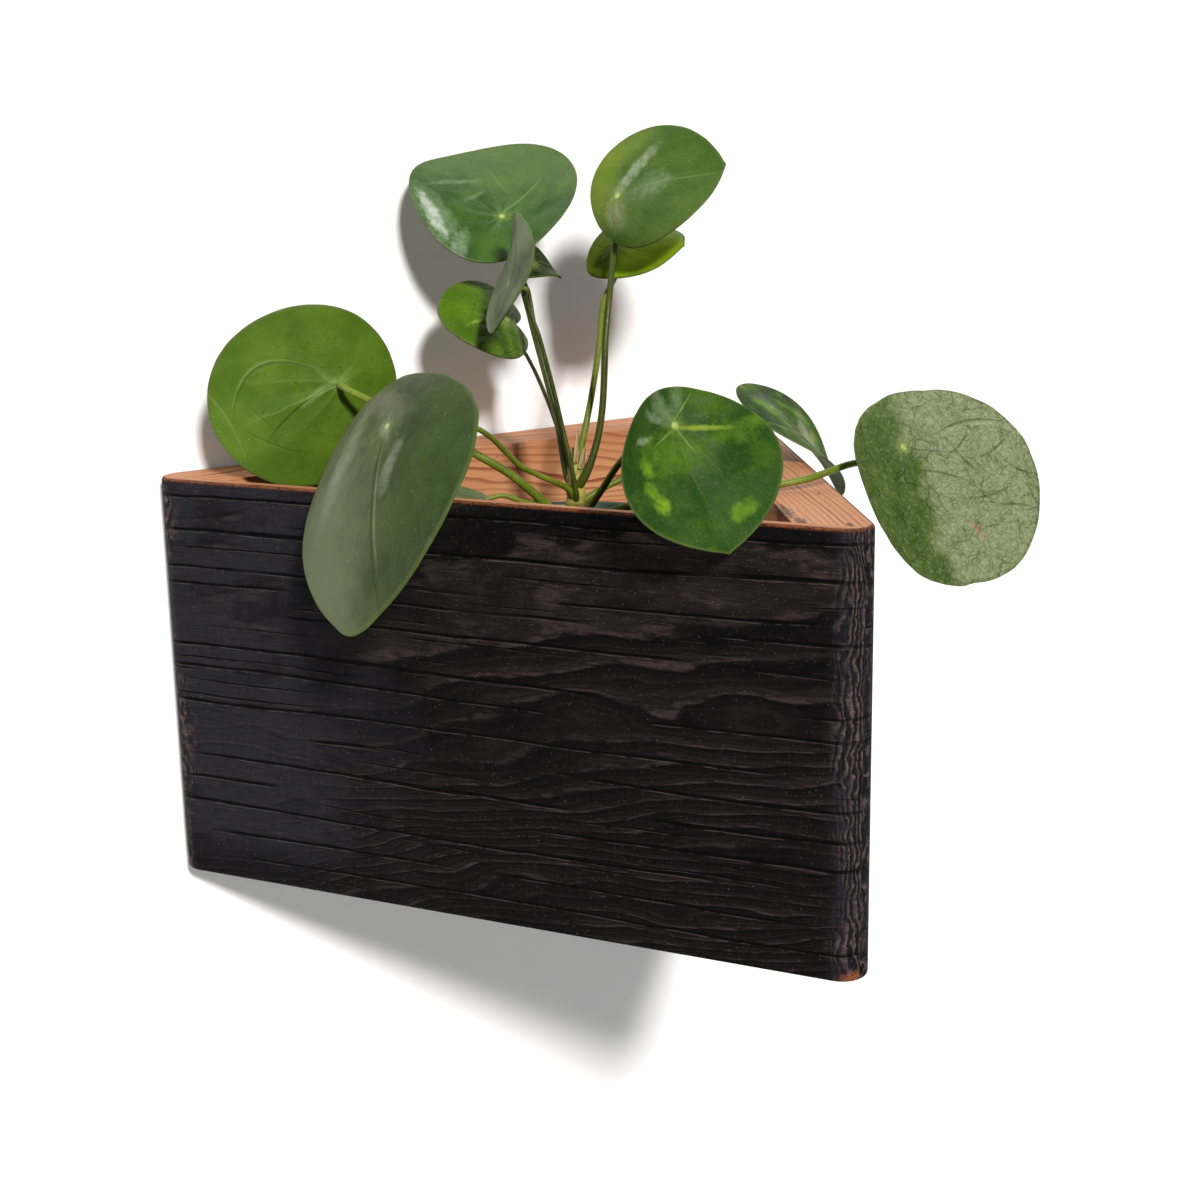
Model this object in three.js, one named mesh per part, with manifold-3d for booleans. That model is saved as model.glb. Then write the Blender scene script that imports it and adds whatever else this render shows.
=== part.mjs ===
// A pilea (Pilea peperomioides) in a triangular wooden planter that hangs flat on a wall.
// Millimetres, +Z up. The origin is the centre of the planter's back face, the wall is the plane
// Y = 0, and the planter's front corner points towards -Y.
import * as THREE from "three";
import { mergeVertices } from "three/addons/utils/BufferGeometryUtils.js";
import Module from "manifold-3d";

const wasm = await Module();
wasm.setup();

// ---------------------------------------------------------------- driving dimensions

const SIDE = 300; // side of the planter's equilateral outline, seen from above
const HEIGHT = 160;
const CORNER_RADIUS = 9.5;
const EASED_EDGE = 1.2; // rounding of the top and bottom arrises
const FRONT_BOARD = 5; // board thicknesses
const SIDE_BOARD = 27;
const WALL_BOARD = 28.8;
const BASE_PANEL = 18;
const GAP = 0.3; // clearance between pieces that touch

const POT_RIM_RADIUS = 60;
const POT_BASE_RADIUS = 46;
const POT_LIP = 8; // height of the rolled band under the rim
const POT_LIP_DEPTH = 2.6; // how far the band stands out of the wall
const POT_WALL = 1.4;
const POT_BELOW_TOP = 24; // the pot's rim lies this far below the top of the boards
const SOIL_BELOW_RIM = 14;
const SOIL_CROWN = 3; // the soil's rise towards the stem

const STEM_RADIUS = 3.6;
const STEM_IN_SOIL = 20;
const STEM_SCAR = 0.45; // swelling at an old leaf scar
const BLADE_THICKNESS = 0.9;

const CLEAT = { length: 236, height: 24, depth: 11.4, bevel: 11.4 }; // the rail it hangs by
const CHANNEL = { length: 240, depth: 12, top: 64, bottom: 10 }; // room for both rails
const SCREW = { headRadius: 3.6, shankRadius: 1.7, head: 2.2, length: 22 };
const SCREW_ALONG = [-100, -35, 35, 100];
const SCREW_BELOW_CLEAT_TOP = 7;

// ---------------------------------------------------------------- derived places

const TOP = HEIGHT / 2;
const BOTTOM = -HEIGHT / 2;
const DEPTH = (SIDE * Math.sqrt(3)) / 2; // from the wall to the front corner
const LEFT_CORNER = new THREE.Vector2(-SIDE / 2, 0);
const FRONT_CORNER = new THREE.Vector2(0, -DEPTH);
const RIGHT_CORNER = new THREE.Vector2(SIDE / 2, 0);
const CENTROID = new THREE.Vector2(0, -DEPTH / 3);

// The three faces: the outward normal's angle in plan, and a point on the face.
const FRONT_FACE = { angle: 210, point: LEFT_CORNER };
const SIDE_FACE = { angle: 330, point: FRONT_CORNER };
const WALL_FACE = { angle: 90, point: RIGHT_CORNER };

// The pocket between the boards is a smaller triangle. The pot stands at its centre.
const POCKET_INRADIUS = (DEPTH - FRONT_BOARD - SIDE_BOARD - WALL_BOARD) / 3;
const POT_Y = -WALL_BOARD - POCKET_INRADIUS;
const POT_X = (POCKET_INRADIUS + FRONT_BOARD - POT_Y / 2) / Math.cos(Math.PI / 6) - SIDE / 2;
const POT_FLOOR = BOTTOM + BASE_PANEL + GAP;
const POT_RIM = TOP - POT_BELOW_TOP;
const SOIL_TOP = POT_RIM - SOIL_BELOW_RIM;

// ---------------------------------------------------------------- materials

const paint = (color, roughness, metalness = 0) =>
  new THREE.MeshStandardMaterial({ color, roughness, metalness });
const CHARRED_WOOD = paint(0x1b1719, 0.7);
const NATURAL_WOOD = paint(0xb87446, 0.6);
const POT_PLASTIC = paint(0x14332c, 0.45);
const SOIL = paint(0x2a1c12, 0.95);
const STEM_GREEN = paint(0x6f7a26, 0.6);
const STALK_GREEN = paint(0x5d7a22, 0.45);
const LEAF_GREEN = paint(0x3f7a2c, 0.35);
const STEEL = paint(0xb9bcc0, 0.35, 1);

// ---------------------------------------------------------------- solids and meshes

// A closed geometry as a solid that can be cut and joined.
function solidOf(geometry) {
  const bare = new THREE.BufferGeometry();
  bare.setAttribute("position", geometry.getAttribute("position").clone());
  if (geometry.index) bare.setIndex(geometry.index.clone());
  const merged = mergeVertices(bare, 1e-4);
  return new wasm.Manifold(
    new wasm.Mesh({
      numProp: 3,
      vertProperties: new Float32Array(merged.attributes.position.array),
      triVerts: new Uint32Array(merged.index.array),
    }),
  );
}

// The biggest body of a solid: cutting can leave a loose scrap.
function biggest(solid) {
  return solid.decompose().reduce((a, b) => (b.volume() > a.volume() ? b : a));
}

function geometryOf(solid) {
  const mesh = solid.getMesh();
  const position = new Float32Array(mesh.numVert * 3);
  for (let i = 0; i < mesh.numVert; i++) {
    const row = mesh.vertProperties.subarray(i * mesh.numProp, i * mesh.numProp + 3);
    position.set(row, i * 3);
  }
  const geometry = new THREE.BufferGeometry();
  geometry.setAttribute("position", new THREE.BufferAttribute(position, 3));
  geometry.setIndex(new THREE.BufferAttribute(new Uint32Array(mesh.triVerts), 1));
  geometry.computeVertexNormals();
  return geometry;
}

const part = new THREE.Group();

function addMesh(name, shape, material) {
  const geometry = shape.isBufferGeometry ? shape : geometryOf(shape);
  const mesh = new THREE.Mesh(geometry, material);
  mesh.name = name;
  part.add(mesh);
  return mesh;
}

const box = (width, depth, height) => new THREE.BoxGeometry(width, depth, height);

// A lathe whose axis is +Z. The profile is a list of [radius, z] from the axis round to the axis.
function turned(profile, segments) {
  const points = profile.map(([radius, z]) => new THREE.Vector2(radius, z));
  return new THREE.LatheGeometry(points, segments).rotateX(Math.PI / 2);
}

// ---------------------------------------------------------------- the planter's boards

// The outline in plan, with its three rounded corners, pushed up into the full block.
function outerBlock() {
  const shape = new THREE.Shape();
  const corners = [
    [LEFT_CORNER, WALL_FACE.angle, FRONT_FACE.angle],
    [FRONT_CORNER, FRONT_FACE.angle, SIDE_FACE.angle],
    [RIGHT_CORNER, SIDE_FACE.angle, WALL_FACE.angle + 360],
  ];
  for (const [corner, from, to] of corners) {
    const inward = CENTROID.clone().sub(corner).normalize();
    const centre = corner.clone().addScaledVector(inward, 2 * CORNER_RADIUS);
    const [start, end] = [from, to].map(THREE.MathUtils.degToRad);
    shape.absarc(centre.x, centre.y, CORNER_RADIUS, start, end, false);
  }
  const geometry = new THREE.ExtrudeGeometry(shape, {
    depth: HEIGHT - 2 * EASED_EDGE,
    curveSegments: 8,
    bevelEnabled: true,
    bevelThickness: EASED_EDGE,
    bevelSize: EASED_EDGE,
    bevelOffset: -EASED_EDGE,
    bevelSegments: 2,
  });
  return solidOf(geometry.translate(0, 0, BOTTOM + EASED_EDGE));
}

// A slab as deep as the given thickness, behind one of the three outer faces.
function slab(face, thickness) {
  const margin = 20; // it sticks out of the block on every other side
  const geometry = box(thickness + margin, 3 * SIDE, HEIGHT + margin);
  geometry.translate((margin - thickness) / 2, 0, 0);
  geometry.rotateZ(THREE.MathUtils.degToRad(face.angle));
  return solidOf(geometry.translate(face.point.x, face.point.y, 0));
}

function addBoards() {
  const block = outerBlock();
  const behindFront = block.subtract(slab(FRONT_FACE, FRONT_BOARD + GAP));
  const behindWallBoard = behindFront.subtract(slab(WALL_FACE, WALL_BOARD + GAP));
  const inside = behindWallBoard.subtract(slab(SIDE_FACE, SIDE_BOARD + GAP));
  const low = box(3 * SIDE, 3 * SIDE, BASE_PANEL).translate(0, 0, BOTTOM + BASE_PANEL / 2);

  addMesh("front_board", block.intersect(slab(FRONT_FACE, FRONT_BOARD)), CHARRED_WOOD);
  addMesh("side_board", behindWallBoard.intersect(slab(SIDE_FACE, SIDE_BOARD)), NATURAL_WOOD);
  addMesh("base_panel", inside.intersect(solidOf(low)), NATURAL_WOOD);
  const plain = behindFront.intersect(slab(WALL_FACE, WALL_BOARD));
  addMesh("wall_board", plain.subtract(backRecess()), NATURAL_WOOD);
}

// ---------------------------------------------------------------- cleat and screws

const CLEAT_TOP = CHANNEL.top - GAP;
const SCREW_Z = CLEAT_TOP - SCREW_BELOW_CLEAT_TOP;
const SCREW_SEGMENTS = 16;

// A cone or pin whose axis is the wall's normal. The profile is a list of [radius, y].
function turnedFromBack(profile) {
  return turned(profile, SCREW_SEGMENTS).rotateX(-Math.PI / 2);
}

// The countersunk hole that a screw sits in, as a plug to cut with.
function screwHole() {
  const [head, shank] = [SCREW.headRadius + GAP, SCREW.shankRadius + GAP];
  const profile = [
    [0, -SCREW.length - GAP],
    [shank, -SCREW.length - GAP],
    [shank, -SCREW.head],
    [head, -GAP],
    [head, 1],
    [0, 1],
  ];
  return solidOf(turnedFromBack(profile));
}

function screwShape() {
  return turnedFromBack([
    [0, -SCREW.length],
    [SCREW.shankRadius * 0.5, -SCREW.length + 1],
    [SCREW.shankRadius, -SCREW.length + 4],
    [SCREW.shankRadius, -SCREW.head],
    [SCREW.headRadius, -GAP],
    [0, -GAP],
  ]);
}

function allScrewHoles() {
  const holes = SCREW_ALONG.map((x) => screwHole().translate(x, 0, SCREW_Z));
  return holes.reduce((a, b) => a.add(b));
}

// What is cut out of the wall board's back: the channel for the rails, and the screws' pilots.
function backRecess() {
  const channel = box(CHANNEL.length, 2 * CHANNEL.depth, CHANNEL.top - CHANNEL.bottom);
  channel.translate(0, 0, (CHANNEL.top + CHANNEL.bottom) / 2);
  return solidOf(channel).add(allScrewHoles());
}

// The rail's lower edge is bevelled: its low side is at the wall, where it hooks over a wall rail.
function addCleat() {
  const section = new THREE.Shape();
  const [low, inner] = [CLEAT_TOP - CLEAT.height, -GAP - CLEAT.depth];
  section.moveTo(-GAP, CLEAT_TOP);
  section.lineTo(inner, CLEAT_TOP);
  section.lineTo(inner, low + CLEAT.bevel);
  section.lineTo(-GAP, low);
  section.closePath();
  const rail = new THREE.ExtrudeGeometry(section, { depth: CLEAT.length, bevelEnabled: false });
  rail.rotateX(Math.PI / 2).rotateZ(Math.PI / 2).translate(-CLEAT.length / 2, 0, 0);
  addMesh("hanging_cleat", solidOf(rail).subtract(allScrewHoles()), NATURAL_WOOD);
  SCREW_ALONG.forEach((x, i) => {
    addMesh(`cleat_screw_${i + 1}`, screwShape(), STEEL).position.set(x, 0, SCREW_Z);
  });
}

// ---------------------------------------------------------------- pot and soil

const POT_SEGMENTS = 40;

// Inside radius of the pot's wall at a height.
function potInside(z) {
  const outer = THREE.MathUtils.mapLinear(z, POT_FLOOR, POT_RIM, POT_BASE_RADIUS, POT_RIM_RADIUS - POT_LIP_DEPTH);
  return outer - POT_WALL;
}

function addPot() {
  const lip = POT_RIM - POT_LIP;
  const chamfer = 1;
  const pot = turned(
    [
      [0, POT_FLOOR],
      [POT_BASE_RADIUS, POT_FLOOR],
      [potInside(lip) + POT_WALL, lip],
      [POT_RIM_RADIUS, lip],
      [POT_RIM_RADIUS, POT_RIM - chamfer],
      [POT_RIM_RADIUS - chamfer, POT_RIM],
      [potInside(POT_RIM), POT_RIM],
      [potInside(POT_FLOOR + POT_WALL), POT_FLOOR + POT_WALL],
      [0, POT_FLOOR + POT_WALL],
    ],
    POT_SEGMENTS,
  );
  addMesh("nursery_pot", pot.translate(POT_X, POT_Y, 0), POT_PLASTIC);
}

function addSoil(stemHole) {
  const floor = POT_FLOOR + POT_WALL + GAP;
  const radiusAt = (z) => potInside(z) - 1.5 * GAP;
  const soil = turned(
    [
      [0, floor],
      [radiusAt(floor), floor],
      [radiusAt(SOIL_TOP), SOIL_TOP],
      [radiusAt(SOIL_TOP) * 0.6, SOIL_TOP + 0.7 * SOIL_CROWN],
      [0, SOIL_TOP + SOIL_CROWN],
    ],
    POT_SEGMENTS,
  );
  addMesh("soil", solidOf(soil.translate(POT_X, POT_Y, 0)).subtract(stemHole), SOIL);
}

// ---------------------------------------------------------------- stem and stalks

// A round shoot along a smooth curve, with its radius given at every share of its length.
function shoot(points, radiusAt, sides, steps) {
  const curve = new THREE.CatmullRomCurve3(points, false, "centripetal");
  const { normals, binormals } = curve.computeFrenetFrames(steps, false);
  const position = [];
  const index = [];
  for (let i = 0; i <= steps; i++) {
    const centre = curve.getPointAt(i / steps);
    for (let j = 0; j < sides; j++) {
      const angle = (2 * Math.PI * j) / sides;
      const point = centre.clone();
      point.addScaledVector(normals[i], radiusAt(i / steps) * Math.cos(angle));
      point.addScaledVector(binormals[i], radiusAt(i / steps) * Math.sin(angle));
      position.push(...point.toArray());
    }
  }
  const ends = [0, steps].map((i) => {
    position.push(...curve.getPointAt(i / steps).toArray());
    return position.length / 3 - 1;
  });
  for (let j = 0; j < sides; j++) {
    const next = (j + 1) % sides;
    for (let i = 0; i < steps; i++) {
      const [a, b] = [i * sides + j, i * sides + next];
      index.push(a, b, b + sides, a, b + sides, a + sides);
    }
    index.push(ends[0], next, j, ends[1], steps * sides + j, steps * sides + next);
  }
  const geometry = new THREE.BufferGeometry();
  geometry.setAttribute("position", new THREE.Float32BufferAttribute(position, 3));
  geometry.setIndex(index);
  return solidOf(geometry);
}

const vector = (coordinates) => new THREE.Vector3(...coordinates);

const STEM_FOOT = [-11, -96];
const STEM_POINTS = [
  [...STEM_FOOT, SOIL_TOP + SOIL_CROWN - STEM_IN_SOIL],
  [...STEM_FOOT, SOIL_TOP + 8],
  [-10, -95.5, 62],
  [-9, -94.5, 76],
  [-8.5, -94, 88],
].map(vector);
const STEM_SIDES = 12;
const STEM_STEPS = 26;
const STEM_SCARS = 11;

// The stem narrows to its tip and swells a little at every old leaf scar.
function stemRadius(share) {
  const scar = STEM_SCAR * Math.max(0, Math.sin(share * STEM_SCARS * Math.PI)) ** 6;
  const tip = THREE.MathUtils.smoothstep(share, 0.86, 1);
  return (STEM_RADIUS + scar) * (1 - 0.1 * share) * (1 - 0.62 * tip);
}

// A tan scale that stands on the stem: a thin leaf-shaped point.
function stipule({ at, length, lean, turn }) {
  const cone = new THREE.ConeGeometry(1.7, length, 6).rotateX(Math.PI / 2);
  cone.scale(1, 0.45, 1).translate(0, 0, length / 2);
  cone.rotateX(THREE.MathUtils.degToRad(lean));
  cone.rotateZ(THREE.MathUtils.degToRad(turn));
  return solidOf(cone.translate(...at));
}

const STIPULES = [
  { at: [-9.5, -96.6, 84], length: 14, lean: 6, turn: 20 },
  { at: [-11.6, -96.8, 74], length: 10, lean: 14, turn: -60 },
  { at: [-6.2, -95.4, 77], length: 11, lean: 10, turn: 70 },
  { at: [-7.6, -97.6, 63], length: 7, lean: 20, turn: 25 },
];

function mainStem() {
  let stem = shoot(STEM_POINTS, stemRadius, STEM_SIDES, STEM_STEPS);
  for (const place of STIPULES) stem = stem.add(stipule(place));
  return stem;
}

// ---------------------------------------------------------------- leaves

// Each leaf: the point where its stalk meets the blade (the pale dot), the heading of its tip in
// plan, the tip's droop below level and the blade's roll about its midrib, in degrees. The blade
// is an oval with the dot "inset" of its length in from the base; "cup", "bend", "fold", "saddle"
// and "ripple" lift its edge out of the flat, in millimetres (and the phase in degrees).
const LEAVES = [
  {
    name: "upper_left", at: [-6, -41.2, 174], heading: 75, droop: -36, roll: 14,
    length: 70, width: 67, inset: 0.33, egg: 0.04, point: 0.02,
    cup: 3.6, bend: -0.9, fold: 1.4, saddle: [5.5, 148], ripple: [1.8, 251],
    stalk: { radius: [1.75, 1.35], via: [[-11, -92, 78], [-9, -83, 97], [-7, -65, 129], [-5, -54, 146]] },
  },
  {
    name: "folded", at: [-32.6, -87.2, 151.6], heading: 59, droop: -28, roll: 70,
    length: 48, width: 46, inset: 0.34, egg: 0.04, point: 0.02,
    cup: -0.1, bend: -0.3, fold: -0.1, saddle: [2.2, 248], ripple: [1.3, 181],
    stalk: { radius: [1, 0.85], via: [[-12, -99, 71], [-15, -94, 99], [-21, -89, 132], [-25, -86, 147]] },
  },
  {
    name: "small_dark", at: [-11.5, -69.5, 157], heading: -3, droop: 6, roll: -35,
    length: 22, width: 21, inset: 0.34, egg: 0.04, point: 0.02,
    cup: 0.1, bend: -1.5, fold: 0.6, saddle: [2.4, 205], ripple: [0.2, 88],
    stalk: { radius: [0.85, 0.7], via: [[-11, -95, 77], [-13, -89, 99], [-15, -78, 131], [-14, -72, 147]] },
  },
  {
    name: "small_bitten", at: [-7.1, -44.5, 133.4], heading: 178, droop: -19, roll: 47,
    length: 41, width: 39, inset: 0.31, egg: 0.03, point: 0.01,
    cup: -2.5, bend: -2.2, fold: -0.2, saddle: [0.7, 162], ripple: [0.4, 188],
    bites: [{ at: 186, depth: 0.3, spread: 12 }],
    stalk: { radius: [0.95, 0.75], via: [[-8, -89, 80], [-5, -72, 100], [-1, -51, 117], [-1, -44, 122]] },
  },
  {
    name: "upper_right", at: [19.9, -84.9, 182.2], heading: -59, droop: -21, roll: -61,
    length: 54, width: 51, inset: 0.23, egg: 0.02, point: 0.04,
    cup: -1.8, bend: -2.3, fold: 1.2, saddle: [1.8, 278], ripple: [1.1, 154],
    stalk: {
      radius: [1.5, 1.2],
      via: [
        [-8, -100, 78], [-3, -101, 91], [0, -101, 106], [3, -99, 129],
        [9, -94, 147], [16, -86, 156], [22, -80, 165],
      ],
    },
  },
  {
    name: "under_right", at: [32.9, -65.9, 162.7], heading: -62, droop: -3, roll: -31,
    length: 42, width: 40, inset: 0.34, egg: 0.04, point: 0.02,
    cup: -2.6, bend: -0.5, fold: -0.8, saddle: [1.6, 278], ripple: [1.1, 35],
    stalk: { radius: [1.45, 1.1], via: [[-5, -91, 83], [6, -84, 104], [17, -75, 126], [25, -67, 141]] },
  },
  {
    name: "left", at: [-87.7, -53.1, 115.6], heading: 165, droop: 22, roll: -83,
    length: 73, width: 71, inset: 0.32, egg: 0.01, point: 0.01,
    cup: 3.8, bend: 2.6, fold: 0.6, saddle: [2.6, 72], ripple: [1.2, 109],
    stalk: {
      radius: [2.1, 1.3],
      via: [[-14, -97, 58], [-25, -98, 68], [-39, -95, 81], [-52, -90, 90], [-67, -83, 100]],
    },
  },
  {
    name: "drooping", at: [-101.9, -115.6, 108], heading: -156, droop: 53, roll: -18,
    length: 94, width: 89, inset: 0.27, egg: 0.05, point: 0.12,
    cup: -6.9, bend: -3.3, fold: 0.6, saddle: [1.1, 40], ripple: [1.5, 222],
    stalk: {
      radius: [1.15, 1],
      via: [[-15, -98, 73], [-27, -100, 79], [-38, -100, 85], [-48, -102, 94], [-60, -106, 102]],
    },
  },
  {
    name: "low", at: [-64, -89.8, 76.5], heading: 154, droop: -9, roll: -1,
    length: 43, width: 41, inset: 0.34, egg: 0.04, point: 0.02,
    cup: 0, bend: -1.2, fold: 0, saddle: [0.8, 60], ripple: [0.5, 120],
    stalk: { radius: [1.1, 0.9], via: [[-20, -100, 65], [-37, -99, 71], [-45, -97, 74]] },
  },
  {
    name: "mottled", at: [-37.6, -196.5, 111.2], heading: -77, droop: 68, roll: -25,
    length: 57, width: 56, inset: 0.22, egg: 0, point: 0.05,
    cup: 6.2, bend: 2.4, fold: 3.2, saddle: [3.8, 122], ripple: [3.4, 293],
    stalk: { radius: [1.45, 1.2], via: [[-9, -101, 63], [-16, -124, 78], [-23, -145, 91], [-30, -169, 102]] },
  },
  {
    name: "behind", at: [69, -118.7, 98.5], heading: -44, droop: 40, roll: 0,
    length: 60, width: 58, inset: 0.26, egg: 0.04, point: 0.01,
    cup: -0.5, bend: -2.3, fold: 0.7, saddle: [3.8, 238], ripple: [1.4, 237],
    stalk: { radius: [1.35, 1.1], via: [[-6, -96, 67], [8, -100, 74], [36, -107, 85], [55, -112, 90]] },
  },
  {
    name: "right", at: [64.1, -199.5, 93.1], heading: -47, droop: 46, roll: -46,
    length: 78, width: 74, inset: 0.25, egg: 0.01, point: 0.04,
    cup: 3.5, bend: 0.1, fold: 1.2, saddle: [5.4, 124], ripple: [1.5, 346],
    stalk: {
      radius: [1.7, 1.25],
      via: [[-8, -111, 64], [-6, -134, 72], [1, -160, 78.5], [13, -180, 82], [29, -188, 84.3], [47, -189, 87.5]],
    },
  },
];

const BLADE_SEGMENTS = 36;
const BLADE_RINGS = [0.34, 0.7, 1];
const STALK_SIDES = 7;
const STALK_STEPS = 20;
const STALK_SQUARE = 7; // the last millimetres of a stalk, square to its blade

// The blade's own directions: along the tip, to its side and out of its upper face.
function bladeFrame({ heading, droop, roll }) {
  const [h, d, r] = [heading, droop, roll].map(THREE.MathUtils.degToRad);
  const tip = new THREE.Vector3(Math.cos(h) * Math.cos(d), Math.sin(h) * Math.cos(d), -Math.sin(d));
  const level = new THREE.Vector3(Math.cos(h) * Math.sin(d), Math.sin(h) * Math.sin(d), Math.cos(d));
  const up = level.clone().applyAxisAngle(tip, -r);
  return { tip, side: up.clone().cross(tip), up };
}

// A point of the blade's middle surface: turn runs round the outline, share from the dot to the edge.
function bladePoint(leaf, frame, turn, share) {
  const fromTip = Math.min(turn, 2 * Math.PI - turn);
  let reach = 1 + leaf.point * Math.exp(-((fromTip / 0.32) ** 2));
  for (const bite of leaf.bites ?? []) {
    const off = (THREE.MathUtils.radToDeg(turn) - bite.at) / bite.spread;
    reach *= 1 - bite.depth * Math.exp(-(off ** 2));
  }
  const along = leaf.length * (0.5 - leaf.inset) + (leaf.length / 2) * Math.cos(turn) * reach;
  const across = (leaf.width / 2) * Math.sin(turn) * (1 - leaf.egg * Math.cos(turn)) * reach;
  const [u, v] = [along * share, across * share];
  const wave = (times, [height, phase]) =>
    height * Math.cos(times * turn - THREE.MathUtils.degToRad(phase));
  const lift =
    share ** 2 * (leaf.cup + wave(2, leaf.saddle) + wave(3, leaf.ripple)) +
    leaf.bend * 4 * (u / leaf.length) ** 2 +
    (leaf.fold * Math.abs(v)) / (leaf.width / 2);
  return vector(leaf.at)
    .addScaledVector(frame.tip, u)
    .addScaledVector(frame.side, v)
    .addScaledVector(frame.up, lift);
}

// A thin waved blade: the same triangles on both faces, closed round its edge.
function bladeGeometry(leaf) {
  const frame = bladeFrame(leaf);
  const middle = [vector(leaf.at)];
  for (const share of BLADE_RINGS) {
    for (let j = 0; j < BLADE_SEGMENTS; j++) {
      middle.push(bladePoint(leaf, frame, (2 * Math.PI * j) / BLADE_SEGMENTS, share));
    }
  }
  const position = [];
  for (const offset of [BLADE_THICKNESS / 2, -BLADE_THICKNESS / 2]) {
    for (const point of middle) {
      position.push(...point.clone().addScaledVector(frame.up, offset).toArray());
    }
  }
  const under = middle.length;
  const index = [];
  const facet = (a, b, c) => index.push(a, b, c, under + a, under + c, under + b);
  for (let j = 0; j < BLADE_SEGMENTS; j++) {
    const next = (j + 1) % BLADE_SEGMENTS;
    facet(0, 1 + j, 1 + next);
    for (let ring = 1; ring < BLADE_RINGS.length; ring++) {
      const [inner, outer] = [1 + (ring - 1) * BLADE_SEGMENTS, 1 + ring * BLADE_SEGMENTS];
      facet(inner + j, outer + j, outer + next);
      facet(inner + j, outer + next, inner + next);
    }
    const edge = under - BLADE_SEGMENTS;
    index.push(edge + j, under + edge + j, under + edge + next);
    index.push(edge + j, under + edge + next, edge + next);
  }
  const geometry = new THREE.BufferGeometry();
  geometry.setAttribute("position", new THREE.Float32BufferAttribute(position, 3));
  geometry.setIndex(index);
  return geometry;
}

// A stalk rises out of the stem, follows its points and meets the blade square on from below.
function stalkShape({ stalk, ...leaf }, extra = 0) {
  const { up } = bladeFrame(leaf);
  const end = vector(leaf.at).addScaledVector(up, -BLADE_THICKNESS / 2 - GAP);
  const before = vector(leaf.at).addScaledVector(up, -STALK_SQUARE);
  const start = vector(stalk.via[0]);
  const foot = new THREE.Vector3(-9.5, -95, start.z - 2);
  const points = [foot, start, ...stalk.via.slice(1).map(vector), before, end];
  const [thick, thin] = stalk.radius;
  const radiusAt = (share) => THREE.MathUtils.lerp(thick, thin, Math.sqrt(share)) + extra;
  return shoot(points, radiusAt, STALK_SIDES, STALK_STEPS);
}

function addPlant() {
  const stem = mainStem();
  addMesh("main_stem", stem, STEM_GREEN);
  const hole = (share) => stemRadius(share) + GAP;
  const clearance = shoot(STEM_POINTS, hole, STEM_SIDES, STEM_STEPS);
  addSoil(clearance);
  let taken = clearance;
  for (const place of STIPULES) taken = taken.add(stipule(place));
  for (const leaf of LEAVES) {
    addMesh(`leaf_${leaf.name}`, bladeGeometry(leaf), LEAF_GREEN);
    addMesh(`stalk_${leaf.name}`, biggest(stalkShape(leaf).subtract(taken)), STALK_GREEN);
    taken = taken.add(stalkShape(leaf, GAP));
  }
}

addBoards();
addCleat();
addPot();
addPlant();

export default part;
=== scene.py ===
# %% [markdown]
# # A pilea in a triangular wall planter
# The planter is a hollow triangle of thick boards that hangs flat on a wall. Its outside is
# charred and brushed, its inside is bare fir. A pilea with round leaves on long stalks stands in
# it, in a green nursery pot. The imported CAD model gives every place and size. This lesson gives
# each piece the surface of the real one: grain, char, veins, soil and gloss.

# %% Load the fixed frame
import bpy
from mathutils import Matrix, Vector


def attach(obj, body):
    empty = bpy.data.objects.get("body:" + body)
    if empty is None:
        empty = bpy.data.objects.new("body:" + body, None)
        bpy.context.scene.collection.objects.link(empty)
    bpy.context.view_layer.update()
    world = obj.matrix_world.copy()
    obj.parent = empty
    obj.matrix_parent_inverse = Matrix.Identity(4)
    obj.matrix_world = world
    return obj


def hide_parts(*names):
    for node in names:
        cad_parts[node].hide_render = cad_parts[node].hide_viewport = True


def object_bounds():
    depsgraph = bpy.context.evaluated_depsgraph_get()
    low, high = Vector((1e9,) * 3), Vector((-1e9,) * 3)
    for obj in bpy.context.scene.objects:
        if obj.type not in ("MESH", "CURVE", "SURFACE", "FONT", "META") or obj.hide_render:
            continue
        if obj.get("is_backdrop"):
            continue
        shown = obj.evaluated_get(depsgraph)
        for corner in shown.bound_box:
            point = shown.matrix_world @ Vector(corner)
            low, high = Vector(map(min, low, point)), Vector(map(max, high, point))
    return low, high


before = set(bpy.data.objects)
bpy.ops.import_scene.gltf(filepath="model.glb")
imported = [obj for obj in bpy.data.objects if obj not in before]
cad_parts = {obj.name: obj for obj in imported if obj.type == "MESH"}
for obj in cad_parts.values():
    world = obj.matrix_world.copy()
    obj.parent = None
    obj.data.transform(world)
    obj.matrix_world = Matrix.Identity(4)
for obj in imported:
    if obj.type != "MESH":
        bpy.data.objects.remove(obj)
cad_box = [list(corner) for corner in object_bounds()]

import inspect
import math
from collections import namedtuple

import bmesh
import bpy
from mathutils import Matrix, Vector, noise

MM = 0.001
print("nodes in the frame:", len(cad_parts), "box:", cad_box)

# %% [markdown]
# ## Camera
# The camera stands where the photographer stood: to the left of the planter, a little above it
# and looking 14 degrees down. An eye point and three angles are enough, and the three axes that
# follow from them are the columns of the camera's matrix.

# %% Place the camera
EYE = Vector((-427.3, -716.0, 211.1)) * MM
YAW, PITCH, ROLL = (math.radians(angle) for angle in (34.60, 13.80, 1.01))
LENS, SENSOR = 58.68, 36


def add_object(name, data):
    item = bpy.data.objects.new(name, data)
    bpy.context.scene.collection.objects.link(item)
    return item


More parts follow.
